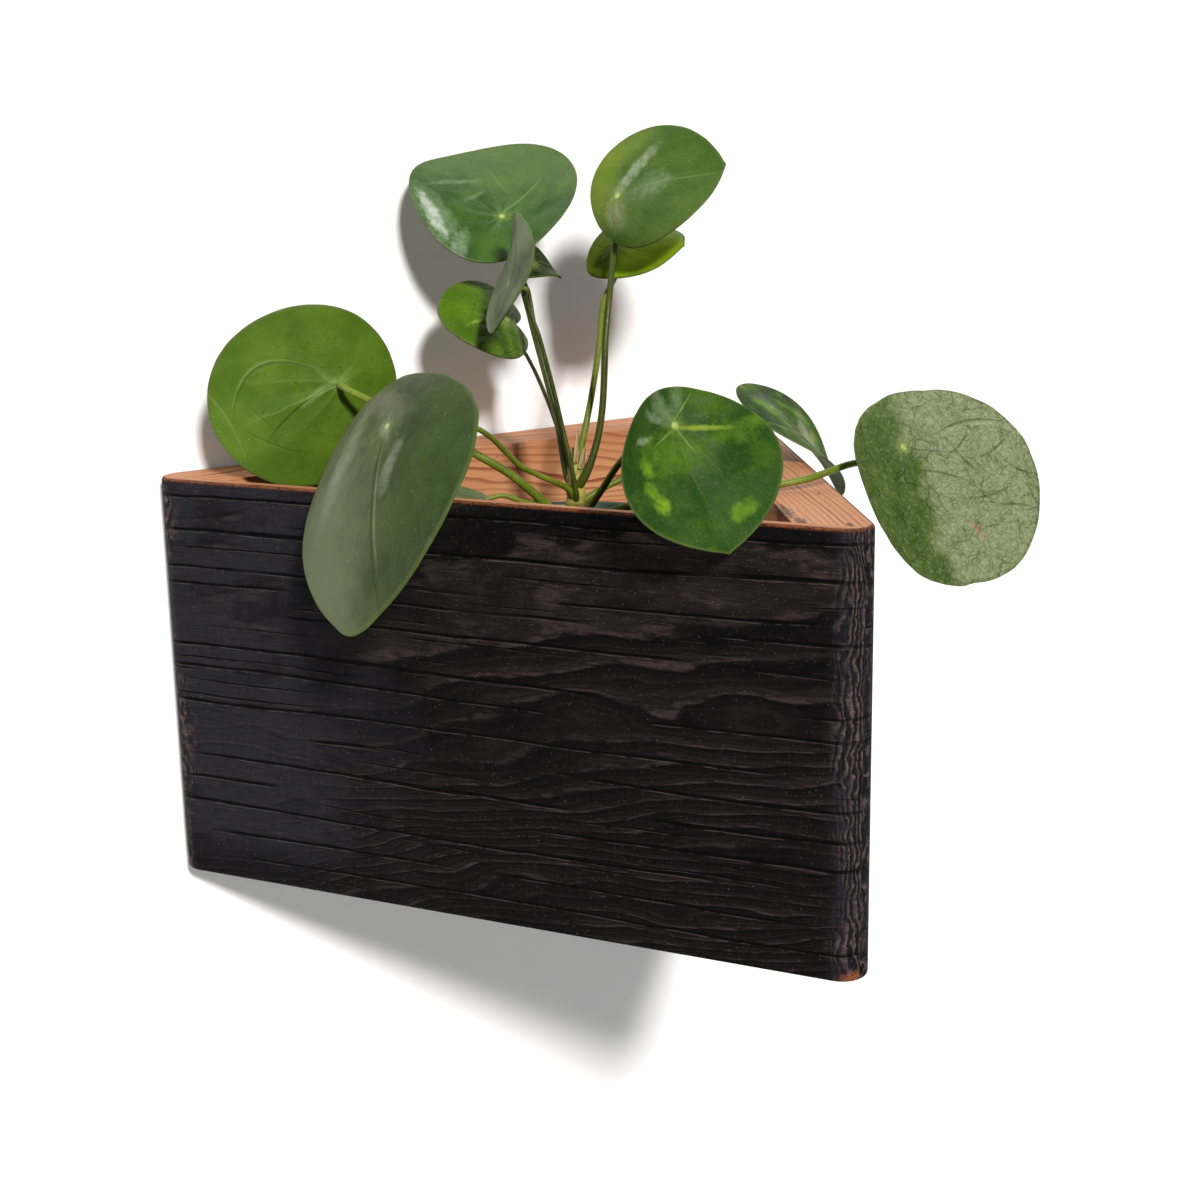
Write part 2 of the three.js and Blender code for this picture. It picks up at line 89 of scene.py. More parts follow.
def camera_matrix():
    ahead = Vector((math.sin(YAW) * math.cos(PITCH), math.cos(YAW) * math.cos(PITCH), -math.sin(PITCH)))
    level = Vector((math.cos(YAW), -math.sin(YAW), 0))
    down = ahead.cross(level)
    right = level * math.cos(ROLL) + down * math.sin(ROLL)
    below = down * math.cos(ROLL) - level * math.sin(ROLL)
    return Matrix.Translation(EYE) @ Matrix((right, -below, -ahead)).transposed().to_4x4()


camera_data = bpy.data.cameras.new("camera")
camera_data.lens, camera_data.sensor_width = LENS, SENSOR
camera = add_object("camera", camera_data)
camera.matrix_world = camera_matrix()
bpy.context.scene.camera = camera
print("camera at", tuple(round(value, 3) for value in EYE))

# %% [markdown]
# ## Lights
# One soft lamp stands behind the viewer's left shoulder, high up, so that the leaves throw their
# shadows down and to the right on the boards and the wall. A pale world fills the shadows.

# %% Set the lamp and the fill
LIGHT_RUNS = Vector((0.255, 0.826, -0.503)).normalized()
LAMP_AIM = Vector((0, -0.1, 0.05))
LAMP_DISTANCE = 7
LAMP_SIZE = 0.8
LAMP_POWER = 600
FILL = 0.1

lamp_data = bpy.data.lights.new("soft_lamp", "AREA")
lamp_data.size, lamp_data.energy, lamp_data.color = LAMP_SIZE, LAMP_POWER, (1, 0.985, 0.96)
lamp = add_object("soft_lamp", lamp_data)
lamp.location = LAMP_AIM - LIGHT_RUNS * LAMP_DISTANCE
lamp.rotation_euler = LIGHT_RUNS.to_track_quat("-Z", "Y").to_euler()

world = bpy.data.worlds.new("pale_room")
world.use_nodes = True
sky = world.node_tree.nodes["Background"].inputs
sky["Color"].default_value, sky["Strength"].default_value = (0.93, 0.96, 1, 1), FILL
bpy.context.scene.world = world
bpy.context.scene.view_settings.view_transform = "Standard"
print("lamp at", tuple(round(value, 2) for value in lamp.location))

# %% [markdown]
# ## Writing shaders as formulas
# Most finishes here are patterns with a rule: rings in wood, veins round a point. Such a rule is
# easier to read as arithmetic than as a list of nodes. So a small class stands for a number that
# changes over the surface, and adding or multiplying two of them adds the Math node for it.

# %% A number that changes over a surface
def feed(socket, value):
    """Gives a socket a link, a number or a colour."""
    if isinstance(value, Field):
        socket.id_data.links.new(value.socket, socket)
    elif socket.type == "RGBA" and len(value) == 3:
        socket.default_value = (*value, 1)
    else:
        socket.default_value = value


def put(tree, kind, sockets=None, out=0, **options):
    """Adds a node, sets its options, fills its sockets and gives one of its outputs."""
    node = tree.nodes.new(kind if "Node" in kind else "ShaderNode" + kind)
    for name, value in options.items():
        setattr(node, name, value)
    for key, value in (sockets or {}).items():
        feed(node.inputs[key], value)
    return Field(node.outputs[out])


class Field:
    """A value that changes over the surface, with the arithmetic that adds its Math nodes."""

    def __init__(self, socket):
        self.socket, self.tree = socket, socket.id_data

    def step(self, low, high, to_low=0.0, to_high=1.0):
        """A smooth step from to_low to to_high while the value goes from low to high."""
        values = dict(enumerate((self, low, high, to_low, to_high)))
        return put(self.tree, "MapRange", values, interpolation_type="SMOOTHSTEP")

    def band(self, start, full, fade, end):
        """Rises to 1, stays there, and falls back to 0."""
        return self.step(start, full) * self.step(fade, end, 1, 0)


def add_operation(name, operation, swapped=False):
    def apply(*values):
        tree = values[0].tree
        ordered = reversed(values) if swapped else values
        return put(tree, "Math", dict(enumerate(ordered)), operation=operation)
    setattr(Field, name, apply)


OPERATIONS = {
    "__add__": "ADD", "__radd__": "ADD", "__sub__": "SUBTRACT", "__mul__": "MULTIPLY",
    "__rmul__": "MULTIPLY", "__truediv__": "DIVIDE", "__pow__": "POWER", "fraction": "FRACT",
    "floor": "FLOOR", "root": "SQRT", "size": "ABSOLUTE", "sine": "SINE", "cosine": "COSINE",
    "angle_from": "ARCTAN2", "least": "MINIMUM", "most": "MAXIMUM"}
for name, operation in OPERATIONS.items():
    add_operation(name, operation)
add_operation("__rsub__", "SUBTRACT", swapped=True)
add_operation("__rtruediv__", "DIVIDE", swapped=True)
print("operations:", [name for name in OPERATIONS if not name.startswith("_")])

# %% [markdown]
# A few patterns come back in every finish: noise, cells, a vector split in its parts, and coats of
# colour that partly cover each other. Each gets a short name.

# %% Noise, cells, vectors and colours
def parts(vector):
    node = vector.tree.nodes.new("ShaderNodeSeparateXYZ")
    feed(node.inputs[0], vector)
    return [Field(socket) for socket in node.outputs]


def vector_of(tree, x, y, z):
    return put(tree, "CombineXYZ", {0: x, 1: y, 2: z})


def vector_math(operation, *values, out=0):
    return put(values[0].tree, "VectorMath", dict(enumerate(values)), out, operation=operation)


def clouds(place, scale, detail=2.0, rough=0.5):
    """Perlin noise from 0 to 1. Its scale is one number, or one for each axis."""
    if isinstance(scale, tuple):
        place, scale = vector_math("MULTIPLY", place, scale), 1
    sockets = {"Vector": place, "Scale": scale, "Detail": detail, "Roughness": rough}
    return put(place.tree, "TexNoise", sockets)


def cells(place, scale, feature="DISTANCE_TO_EDGE"):
    return put(place.tree, "TexVoronoi", {"Vector": place, "Scale": scale}, feature=feature)


def lot_of(number):
    """A random number from 0 to 1 for each whole number."""
    return put(number.tree, "TexWhiteNoise", {"W": number.floor()}, noise_dimensions="1D")


def linear(color):
    """A screen colour from 0 to 255 as the linear colour that a shader takes."""
    return tuple(((value / 255 + 0.055) / 1.055) ** 2.4 if value > 10 else value / 3294.6
                 for value in color)


def painted(base, *coats):
    """A colour with coats over it. A coat is the share that it covers and its colour."""
    for share, color in coats:
        node = share.tree.nodes.new("ShaderNodeMix")
        node.data_type = "RGBA"
        for index, value in ((0, share), (6, base), (7, color)):
            feed(node.inputs[index], linear(value) if isinstance(value, tuple) else value)
        base = Field(node.outputs[2])
    return base


print("a screen's 128 is linear", round(linear((128,))[0], 3))

# %% [markdown]
# ## Groups and materials
# A pattern that several finishes share is a node group with named sockets. `group` turns the
# function that draws a pattern into such a group, and calling it later adds the group to a tree.
# `make_material` takes the colour, roughness and height that a function draws, and feeds them to
# the material's one shader.

# %% Make groups and materials
def group(*outputs):
    """The function's parameters become the sockets: a number is a plain one, a word its kind."""
    def build(draw):
        tree = bpy.data.node_groups.new(draw.__name__, "ShaderNodeTree")
        inputs = {name: item.default for name, item in inspect.signature(draw).parameters.items()}
        for name, value in inputs.items():
            kind = value if isinstance(value, str) else "Float"
            socket = tree.interface.new_socket(name, in_out="INPUT", socket_type="NodeSocket" + kind)
            if kind == "Float":
                socket.default_value = value
        for name in outputs:
            kind = "NodeSocketColor" if name == "color" else "NodeSocketFloat"
            tree.interface.new_socket(name, in_out="OUTPUT", socket_type=kind)
        entry, leave = tree.nodes.new("NodeGroupInput"), tree.nodes.new("NodeGroupOutput")
        results = draw(**{name: Field(entry.outputs[name]) for name in inputs})
        for name, value in zip(outputs, results):
            feed(leave.inputs[name], value)
        pattern = namedtuple(draw.__name__, outputs)

        def use(**values):
            place = next(value for value in values.values() if isinstance(value, Field))
            node = place.tree.nodes.new("ShaderNodeGroup")
            node.node_tree = tree
            for name, value in values.items():
                feed(node.inputs[name], value)
            return pattern(*(Field(socket) for socket in node.outputs))
        print("group", draw.__name__, "takes", list(inputs))
        return use
    return build


def plain_material(name, constants):
    """A material and its shader, with constants on the shader's own sockets."""
    material = bpy.data.materials.new(name)
    material.use_nodes = True
    shader = material.node_tree.nodes["Principled BSDF"]
    for label, value in constants.items():
        shader.inputs[label.replace("_", " ")].default_value = value
    return material, shader


def make_material(name, draw, relief, **constants):
    """A material whose colour, roughness and height are drawn; relief is in millimetres."""
    material, shader = plain_material(name, constants)
    color, roughness, height = draw(material.node_tree)
    sockets = {"Height": height, "Strength": 1.0, "Distance": relief * MM}
    bump = put(material.node_tree, "Bump", sockets)
    for label, value in (("Base Color", color), ("Roughness", roughness), ("Normal", bump)):
        feed(shader.inputs[label], value)
    return material


def object_mm(tree, turn=0.0, shift=(0, 0, 0)):
    """The piece's own coordinates in millimetres, turned about Z by an angle in degrees."""
    sockets = {"Vector": put(tree, "TexCoord", out="Object"), "Location": shift,
               "Rotation": (0, 0, math.radians(turn)), "Scale": (1000,) * 3}
    return put(tree, "Mapping", sockets, vector_type="POINT")


# %% [markdown]
# ## Stage
# A pale wall behind the planter catches its shadow, and a pale floor lies well below. The wall is
# see-through from behind, so that the back of the planter can be looked at too.

# %% Build the wall and the floor
WALL_BEHIND = 0.6 * MM
FLOOR_DEPTH, REACH = 2.2, 3
WALL_GLOW = 0.08


def paper_white(name):
    material, shader = plain_material(name, {
        "Base Color": (0.94, 0.94, 0.94, 1), "Roughness": 0.9, "Specular IOR Level": 0.1,
        "Emission Color": (1, 1, 1, 1), "Emission Strength": WALL_GLOW})
    tree = material.node_tree
    sockets = {0: put(tree, "NewGeometry", out="Backfacing"), 1: Field(shader.outputs[0]),
               2: put(tree, "BsdfTransparent")}
    feed(tree.nodes["Material Output"].inputs["Surface"], put(tree, "MixShader", sockets))
    return material


def stage_plane(name, corners, material):
    mesh = bpy.data.meshes.new(name)
    mesh.from_pydata(corners, [], [(0, 1, 2, 3)])
    mesh.materials.append(material)
    add_object(name, mesh)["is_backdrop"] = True


white = paper_white("stage_white")
y, z = WALL_BEHIND, -FLOOR_DEPTH
stage_plane("stage_wall", [(-REACH, y, z), (REACH, y, z), (REACH, y, REACH), (-REACH, y, REACH)], white)
stage_plane("stage_floor", [(-REACH, -REACH, z), (REACH, -REACH, z), (REACH, y, z), (-REACH, y, z)], white)
print("stage: a wall and a floor", 2 * REACH, "m wide")

# %% [markdown]
# ## Wood
# A board is a slice of a trunk, so its grain is a slice of a set of nested, slightly wandering
# tubes. The group measures how far a point lies from the trunk's axis, counts the years, and
# gives the dark latewood line at the end of each year and the fine fibres along the board.

# %% The grain group
@group("late", "fibre", "pore", "years")
def board_grain(place="Vector", year=5.0, axis_depth=0.0, axis_height=0.0, tilt=0.0, wander=30.0,
                ripple=2.0):
    along, depth, height = parts(place)
    drift = clouds(place, (0.006, 0.02, 0.02), 2) - 0.5
    shiver = clouds(place, (0.03, 0.09, 0.09), 2) - 0.5
    from_axis = depth - axis_depth
    above = height - axis_height - along * tilt - drift * wander
    years = ((from_axis * from_axis + above * above).root() + shiver * ripple) / year
    late = years.fraction().band(0.42, 0.84, 0.92, 1.0)
    fibre = clouds(place, (0.02, 1.4, 2.6), 3, 0.65)
    pore = clouds(place, (0.05, 3.5, 6.0), 1)
    return late * (0.3 + lot_of(years) * 0.7), fibre, pore, years


# %% [markdown]
# Bare fir is orange-brown, with reddish latewood. Where the flame came round an edge it is
# scorched: brown at first and then black, with a ragged front.

# %% The bare fir group
@group("color", "roughness", "height")
def bare_fir(place="Vector", late=0.0, fibre=0.5, pore=0.5, scorch=0.0, burns=0.9):
    tone = clouds(place, (0.01, 0.05, 0.05), 3) - 0.5
    burn = clouds(place, (0.035, 0.07, 0.07), 4, 0.6).step(0.63, 0.72) * burns
    ragged = clouds(place, (0.25, 0.4, 0.4), 4, 0.6) - 0.5
    heat = scorch + ragged * 0.7 + burn
    color = painted(
        (200, 142, 100), (late, (126, 62, 34)), ((tone * 1.6 + 0.25).most(0), (170, 102, 62)),
        (fibre.step(0.56, 0.8, 0, 0.35), (110, 62, 38)), (heat.step(0.35, 0.8, 0, 0.85), (78, 42, 28)),
        (heat.step(0.75, 1.0), (24, 20, 20)))
    return color, fibre.step(0.2, 0.8, 0.52, 0.68), late * 0.5 + fibre * 0.6 + pore * 0.2


# %% [markdown]
# The scorch needs the depth below the outside, also round the corners. The plan is a triangle with
# three rounded corners, so the depth is the least of six simple distances.

# %% The depth group
SIDE, HEIGHT, CORNER_RADIUS = 300, 160, 9.5
INRADIUS = SIDE / (2 * math.sqrt(3))
PLAN_CENTRE = Vector((0, -INRADIUS, 0))
CORNERS = (150, 270, 30)  # the directions of the corners, seen from the middle


def heading(angle):
    """The level direction at an angle in degrees, counted from X towards Y."""
    turn = math.radians(angle)
    return Vector((math.cos(turn), math.sin(turn), 0))


@group("depth")
def depth_in_outline(place="Vector"):
    def towards(vector, angle):
        return vector_math("DOT_PRODUCT", vector, heading(angle), out="Value")

    place = vector_math("ADD", place, -PLAN_CENTRE)
    flat = vector_math("MULTIPLY", place, (1, 1, 0))
    depth = INRADIUS - towards(place, 90)
    for angle in (210, 330):
        depth = depth.least(INRADIUS - towards(place, angle))
    for angle in sorted(CORNERS):
        away = vector_math("SUBTRACT", flat, heading(angle) * 2 * (INRADIUS - CORNER_RADIUS))
        elsewhere = towards(away, angle).step(CORNER_RADIUS * 0.4, CORNER_RADIUS * 0.5, 999, 0)
        depth = depth.least(CORNER_RADIUS - vector_math("LENGTH", away, out="Value") + elsewhere)
    return depth,


# %% [markdown]
# Charring eats the soft earlywood, and brushing takes it away. The harder latewood stays as low, browner
# ridges, with a painted highlight along each crest and painted shade in the groove under it. The heat also
# opens long thin checks along the grain, whose lips catch the light, painted as a highlight on each lip. A
# pale bluish coat is a painted reflection of the sky.

# %% The char group
def draw_checks(place, spacing, shortest, breadth, shift, broken):
    """Thin cracks, one in each lane along the grain, and the lip above each, which carries a painted
    highlight.
    """
    along, _, height = parts(place)
    sway = (clouds(place, (0.006, 0.02, 0.03), 3) - 0.5) * 7
    wiggle = (clouds(place, (0.06, 0.1, 0.1), 3, 0.6) - 0.5) * 0.8
    level = (height + sway + wiggle + shift) / spacing
    off = (level.fraction() - 0.25 - lot_of(level) * 0.5) * spacing
    lane = vector_of(place.tree, along * 0.009, level.floor() * 3.7, 0)
    run = clouds(lane, 1, 1).step(shortest, shortest + 0.05)
    swell = (clouds(place, (0.12, 0.1, 0.1), 2) + 0.6) * breadth
    check = (off.size() / swell).step(0.5, 1.0, 1, 0) * run
    lip = (off + breadth * 1.5).size().step(0.08, 0.3, 1, 0) * run * broken * breadth * 1.8
    return check, lip


@group("color", "roughness", "height")
def brushed_char(place="Vector", years=0.0, check_spacing=11.0, ridge_strength=0.9, rub=0.0,
                 blue=0.0, corner=0.0):
    along, depth, _ = parts(place)
    share, lot = years.fraction(), lot_of(years)
    fade = clouds(place, (0.011, 0.03, 0.03), 2).step(0.36, 0.6, 0.3, 1)
    fade = fade * (1.0 - blue * 0.8).most(0.25) * (1.0 - corner * 0.8)
    ridge = share.band(0.2, 0.76, 0.84, 0.92) * (0.45 + lot * 0.55) * fade
    groove = share.band(0.8, 0.92, 0.95, 1.0) * fade
    crest = share.band(0.68, 0.8, 0.84, 0.9) * fade
    fine = (years * 3.0).fraction().band(0.4, 0.75, 0.8, 0.95) * fade
    patch = clouds(place, (0.012, 0.03, 0.03), 3)
    broken = clouds(place, (0.1, 0.4, 0.4), 3, 0.7).step(0.4, 0.56)
    check, lip = draw_checks(place, check_spacing, 0.42, 0.6, 0, broken)
    small_check, small_lip = draw_checks(place, 4.7, 0.55, 0.32, 31, broken)
    check = (small_check + check) * (1.0 - corner * 0.55)
    lip = (small_lip + lip) * (1.0 - corner)
    rows = (clouds(place, (0.05, 0.05, 0.03), 4, 0.6) - 0.5) * 30
    curl = ((along + depth * 1.3 + rows) / 3.1).fraction().band(0.1, 0.6, 0.7, 0.85) * corner
    brush = clouds(place, (0.08, 1.2, 1.5), 5, 0.8)
    bristle = clouds(place, (1.3, 1.3, 0.12), 3, 0.7)
    speck = clouds(place, (0.55, 1.2, 1.6), 3, 0.75)
    point = clouds(place, (1.6, 1.9, 1.9), 1)
    color = painted(
        # The pale bluish coats on the next two lines are a painted reflection of the sky.
        (4, 4, 5), (patch.step(0.38, 0.62), (12, 9, 10)), (blue.least(1.0), (38, 38, 45)),
        (blue.step(1.0, 1.8, 0, 0.8), (70, 58, 58)), (ridge * ridge_strength, (44, 34, 34)),
        # The crest coat on the next line is a painted highlight along each ridge; the groove coat two lines
        # further down is painted shade.
        (fine * 0.22, (52, 42, 42)), (crest * broken * fine.step(0, 1, 0.35, 0.8), (88, 72, 70)),
        (curl * broken.step(0, 1, 0.3, 0.8), (116, 94, 92)),
        (corner * (1.0 - curl) * 0.5, (10, 8, 9)), (groove * 0.9, (2, 2, 3)),
        (brush.step(0.38, 0.5, 0.6, 0), (5, 5, 6)),
        (brush.step(0.55, 0.68, 0, 0.5) * (ridge + 0.2), (84, 68, 66)),
        (bristle.step(0.55, 0.8, 0, 0.3) * (blue + 0.25), (64, 62, 70)),
        (speck.step(0.62, 0.7) * ridge.step(0, 1, 0.2, 0.8), (112, 92, 86)),
        # The lip coat on this next line is a painted highlight on the checks' lips.
        (point.step(0.75, 0.79) * 0.6, (136, 124, 116)), ((lip * 0.3).least(0.4), (112, 98, 92)),
        (check.least(1.0), (1, 1, 1)), (rub * speck.step(0.3, 0.6), (158, 92, 58)))
    lift = ridge * 0.8 + curl * 0.5 - groove * 0.6 + fine * 0.3 + brush * 0.5 + bristle * 0.14
    lift = lift + speck * 0.25 + lip * 0.2 - check * 1.3
    return color, brush.step(0.2, 0.8, 0.5, 0.72), lift


# %% [markdown]
# Each board has its own finish, because each was sawn from another place in the trunk. In every
# board's own coordinates X runs along the grain and -Y out of its outer face.

# %% The boards' materials
GRAIN = {  # the board's turn, and what its grain group takes
    "front": (60, dict(year=3.5, axis_depth=24, axis_height=42, tilt=0.16, wander=52, ripple=3.4)),
    "side": (-60, dict(year=2.1, axis_depth=10, axis_height=34, tilt=-0.1, wander=34, ripple=2.6)),
    "wall": (180, dict(year=2.5, axis_depth=-8, axis_height=-30, tilt=0.05, wander=44, ripple=3.4)),
}
BURNT_SPOTS = [(-108, -60.5, 15, 3.2), (-128, -63, 9, 2.4), (-137, -78, 7, 1.3)]  # place, length, width
RUBBED_SPOT = (146, -79)  # the worn lower right corner of the front board


def grain_on(tree, board):
    """A board's own coordinates and its grain."""
    turn, wood = GRAIN[board]
    centre = Matrix.Rotation(math.radians(turn), 3, "Z") @ PLAN_CENTRE
    place = object_mm(tree, turn, shift=-centre)
    return place, board_grain(place=place, **wood)


def fir_on(place, grain, scorch):
    return bare_fir(place=place, late=grain.late, fibre=grain.fibre, pore=grain.pore, scorch=scorch)


def draw_charred(tree, board):
    place, grain = grain_on(tree, board)
    along, _, height = parts(place)
    worn = height.step(78.6, 79.9, 0, 0.8)
    if board == "front":
        spot = ((along - RUBBED_SPOT[0]) * 0.11) ** 2 + ((height - RUBBED_SPOT[1]) * 0.3) ** 2
        worn = worn.most(spot.step(0.3, 1.6, 1, 0))
    mottle = clouds(place, (0.03, 0.05, 0.05), 3)
    # A pale bluish painted sheen, a painted reflection of the sky, on the left part of the board and weaker
    # near its bottom; the same pale coat also lies on a strip of rows at the right corner.
    ashen = (along + mottle * 110).step(-40, 35, 0.9, 0.0) * mottle.step(0.3, 0.5, 0.4, 1)
    ashen = ashen * height.step(-76, -56, 0.15, 1)
    rows = clouds(place, (0.9, 0.9, 0.08), 3, 0.7)
    ashen = ashen.most(along.step(129, 140, 0, 1.2) * rows.step(0.35, 0.6, 0.25, 1))
    swerve = (clouds(place, (0.02, 0.02, 0.06), 4, 0.6) - 0.5) * 26
    strength = height.step(-60, 20, 0.36, 0.9) * mottle.step(0.35, 0.6, 0.6, 1)
    return brushed_char(place=place, years=grain.years, rub=worn, blue=ashen, ridge_strength=strength,
                        corner=(along.size() + swerve).step(131, 141))


def draw_bare(tree, board):
    place, grain = grain_on(tree, board)
    along, inward, height = parts(place)
    scorch = depth_in_outline(place=object_mm(tree)).depth.step(0.4, 2.4, 1, 0)
    if board == "wall":  # the hidden back lay on something, and only its edges caught the flame
        back = inward.step(-INRADIUS + 0.25, -INRADIUS + 0.5, 1, 0)
        scorch = scorch * (1.0 - back) + back * height.size().step(62, 79.5, 0, 1)
    if board == "side":
        ragged = (clouds(place, (0.12, 0.9, 0.3), 4, 0.65) - 0.5) * 3.6
        for centre, level, long, wide in BURNT_SPOTS:
            spot = ((along - centre) / long) ** 2 + ((inward - level) / wide) ** 2 + ragged
            scorch = scorch.most(spot.step(0.0, 1.7, 0.8, 0))
    return fir_on(place, grain, scorch)


charred, bare = {}, {}
for board in GRAIN:
    charred[board] = make_material("charred_" + board, lambda tree: draw_charred(tree, board), 1.0,
                                   Specular_IOR_Level=0.05)
    bare[board] = make_material("bare_" + board, lambda tree: draw_bare(tree, board), 0.25,
                                Specular_IOR_Level=0.3)
print("board materials:", len(charred) + len(bare))

# %% [markdown]
# ## The boards
# The planter is one triangular block with rounded corners and eased edges, hollow inside. It is
# built whole, as rings of points from the bottom to the top, and then cut by planes into its
# boards, so the rounding runs on from board to board as it does after sanding.

# %% The whole block
EASED_EDGE = 1.2
ARC_STEPS = 14
EDGE_STEPS = 4
HELD = 0.4  # a strip beside each rounding that keeps the flat faces flat in shading
JOINT_GAP = 0.3
BOARDS = {"front": (210, 5.0), "side": (330, 27.0), "wall": (90, 28.8)}  # outward angle, thickness


def corner_centre(angle):
    return PLAN_CENTRE + heading(angle) * (2 * INRADIUS - 2 * CORNER_RADIUS)


def outline(inset):
    """The rounded triangle in plan, pushed in by some millimetres, as a list of points."""
    points = []
    for corner in CORNERS:
        start, centre = (corner + 300) % 360, corner_centre(corner)
        arc = [centre + heading(start + 120 * step / ARC_STEPS) * (CORNER_RADIUS - inset)
               for step in range(ARC_STEPS + 1)]
        points += [arc[0] + heading(start - 90) * HELD, *arc, arc[-1] + heading(start + 210) * HELD]
    return points


def block_rings():
    """Pairs of inset and height from the bottom face to the top face."""
    quarter = [math.radians(90 * step / EDGE_STEPS) for step in range(EDGE_STEPS + 1)]
    low = [(EASED_EDGE * (1 - math.sin(a)), -HEIGHT / 2 + EASED_EDGE * (1 - math.cos(a))) for a in quarter]
    low = [(EASED_EDGE + HELD, -HEIGHT / 2), *low, (0, -HEIGHT / 2 + EASED_EDGE + HELD)]
    return low + [(inset, -z) for inset, z in reversed(low)]


def bridge(shape, rows):
    """Quads between neighbouring rings of points. A ring of one point is a tip."""
    for low, high in zip(rows, rows[1:]):
        steps = max(len(low), len(high))
        for i in range(steps):
            j = (i + 1) % steps
            loop = [low[i % len(low)], low[j % len(low)], high[j % len(high)], high[i % len(high)]]
            corners = list(dict.fromkeys(loop))
            if len(corners) > 2:
                shape.faces.new(corners)


def whole_block():
    block = bmesh.new()
    rings = [[block.verts.new((p + Vector((0, 0, z))) * MM) for p in outline(inset)]
             for inset, z in block_rings()]
    bridge(block, rings)
    block.faces.new(list(reversed(rings[0])))
    block.faces.new(rings[-1])
    return block


print("board faces stand", round(INRADIUS, 1), "mm from the plan's centre")

# %% [markdown]
# A board keeps what lies in front of its own inner plane and behind the boards that run past it.

# %% Cut the block into boards
def cut(block, board, below, keep_outer):
    """Cuts the block some millimetres below a board's outer face and closes the cut."""
    outward = heading(BOARDS[board][0])
    point = (PLAN_CENTRE + outward * (INRADIUS - below)) * MM
    geometry = block.verts[:] + block.edges[:] + block.faces[:]
    result = bmesh.ops.bisect_plane(block, geom=geometry, plane_co=point, plane_no=outward,
                                    clear_inner=keep_outer, clear_outer=not keep_outer)
    edges = [item for item in result["geom_cut"] if isinstance(item, bmesh.types.BMEdge)]
    bmesh.ops.edgeloop_fill(block, edges=edges)


def finished(shape, name):
    """Turns a bmesh into a mesh with all faces looking out."""
    bmesh.ops.recalc_face_normals(shape, faces=shape.faces[:])
    mesh = bpy.data.meshes.new(name)
    shape.to_mesh(mesh)
    shape.free()
    return mesh


def board_mesh(name, *cuts):
    block = whole_block()
    for board, below, keep_outer in cuts:
        cut(block, board, below, keep_outer)
    return finished(block, name)


front_in, side_in, wall_in = (thickness for _, thickness in BOARDS.values())
behind_front = ("front", front_in + JOINT_GAP, False)
before_wall = ("wall", wall_in + JOINT_GAP, False)
front_mesh = board_mesh("front_board", ("front", front_in, True))
side_mesh = board_mesh("side_board", behind_front, before_wall, ("side", side_in, True))
wall_mesh = board_mesh("wall_board", behind_front, ("wall", wall_in, True))
print("points:", [len(mesh.vertices) for mesh in (front_mesh, side_mesh, wall_mesh)])

# %% [markdown]
# Outer faces are charred, all others are bare wood: the face's distance from the outline tells
# which is which. The wall board's back is the exception, because its flame came only round the
# edges.

# %% Finish the front and the side board
SKIN_DEPTH = 1.3  # a face this near to the outline belongs to the outside
LEVEL = 0.93  # a normal's height above which a face counts as level


def hull_depth(x, y):
    """How far a point lies inside the rounded outline, in millimetres."""
    place = Vector((x, y, 0))
    depths = [INRADIUS - (place - PLAN_CENTRE).dot(heading(angle)) for angle, _ in BOARDS.values()]
    for angle in CORNERS:
        away = place - corner_centre(angle)
        if away.dot(heading(angle)) > CORNER_RADIUS * 0.5:
            depths.append(CORNER_RADIUS - away.length)
    return min(depths)


def mark_charred(mesh, back_is_bare=False):
    """Material 0, charred, on outer and bottom faces, and material 1, bare wood, on the others."""
    for face in mesh.polygons:
        x, y, _ = (value / MM for value in face.center)
        outer = hull_depth(x, y) < SKIN_DEPTH and face.normal.z < LEVEL
        spared = back_is_bare and face.normal.y > 0.9 and y > -1
        face.material_index = 0 if (outer and not spared) or face.normal.z < -LEVEL else 1


def add_piece(name, mesh, materials, node_names, slot, smooth_angle=0):
    """Adds a finished mesh as a piece that rides on the root and stands for CAD nodes."""
    for material in materials:
        mesh.materials.append(material)
    piece = add_object(name, mesh)
    mesh.shade_smooth()
    if smooth_angle:
        mesh.set_sharp_from_angle(angle=math.radians(smooth_angle))
    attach(piece, "root")
    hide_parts(*node_names)


for board, mesh, slot in (("front", front_mesh, "charred_wood"), ("side", side_mesh, "natural_wood")):
    mark_charred(mesh)
    add_piece(f"{board}_board_wood", mesh, [charred[board], bare[board]], [f"{board}_board"], slot, 40)
print("front board faces:", len(front_mesh.polygons))

# %% [markdown]
# The wall board has a long channel milled in its back, and four pilot holes for the cleat's
# screws. Two exact Boolean cuts do it: the channel as a box, and the holes as four small plugs.

# %% Mill the wall board's back
CHANNEL = dict(length=240, depth=12, top=64, bottom=10)
SCREW = dict(head=3.6, shank=1.7, sink=2.2, length=22)
SCREW_ALONG = (-100, -35, 35, 100)
SCREW_Z = 56.7
PLUG_END = -2  # how far a plug reaches into the channel
ROUND = 24  # points round a screw


def mesh_of(name, build):
    """A mesh that a function fills in a bmesh, in millimetres."""
    shape = bmesh.new()
    build(shape)
    bmesh.ops.scale(shape, vec=(MM, MM, MM), verts=shape.verts)
    return finished(shape, name)


def around(radius, steps):
    """Points in a plane, evenly round a circle."""
    turns = [2 * math.pi * i / steps for i in range(steps)]
    return [(radius * math.cos(turn), radius * math.sin(turn)) for turn in turns]


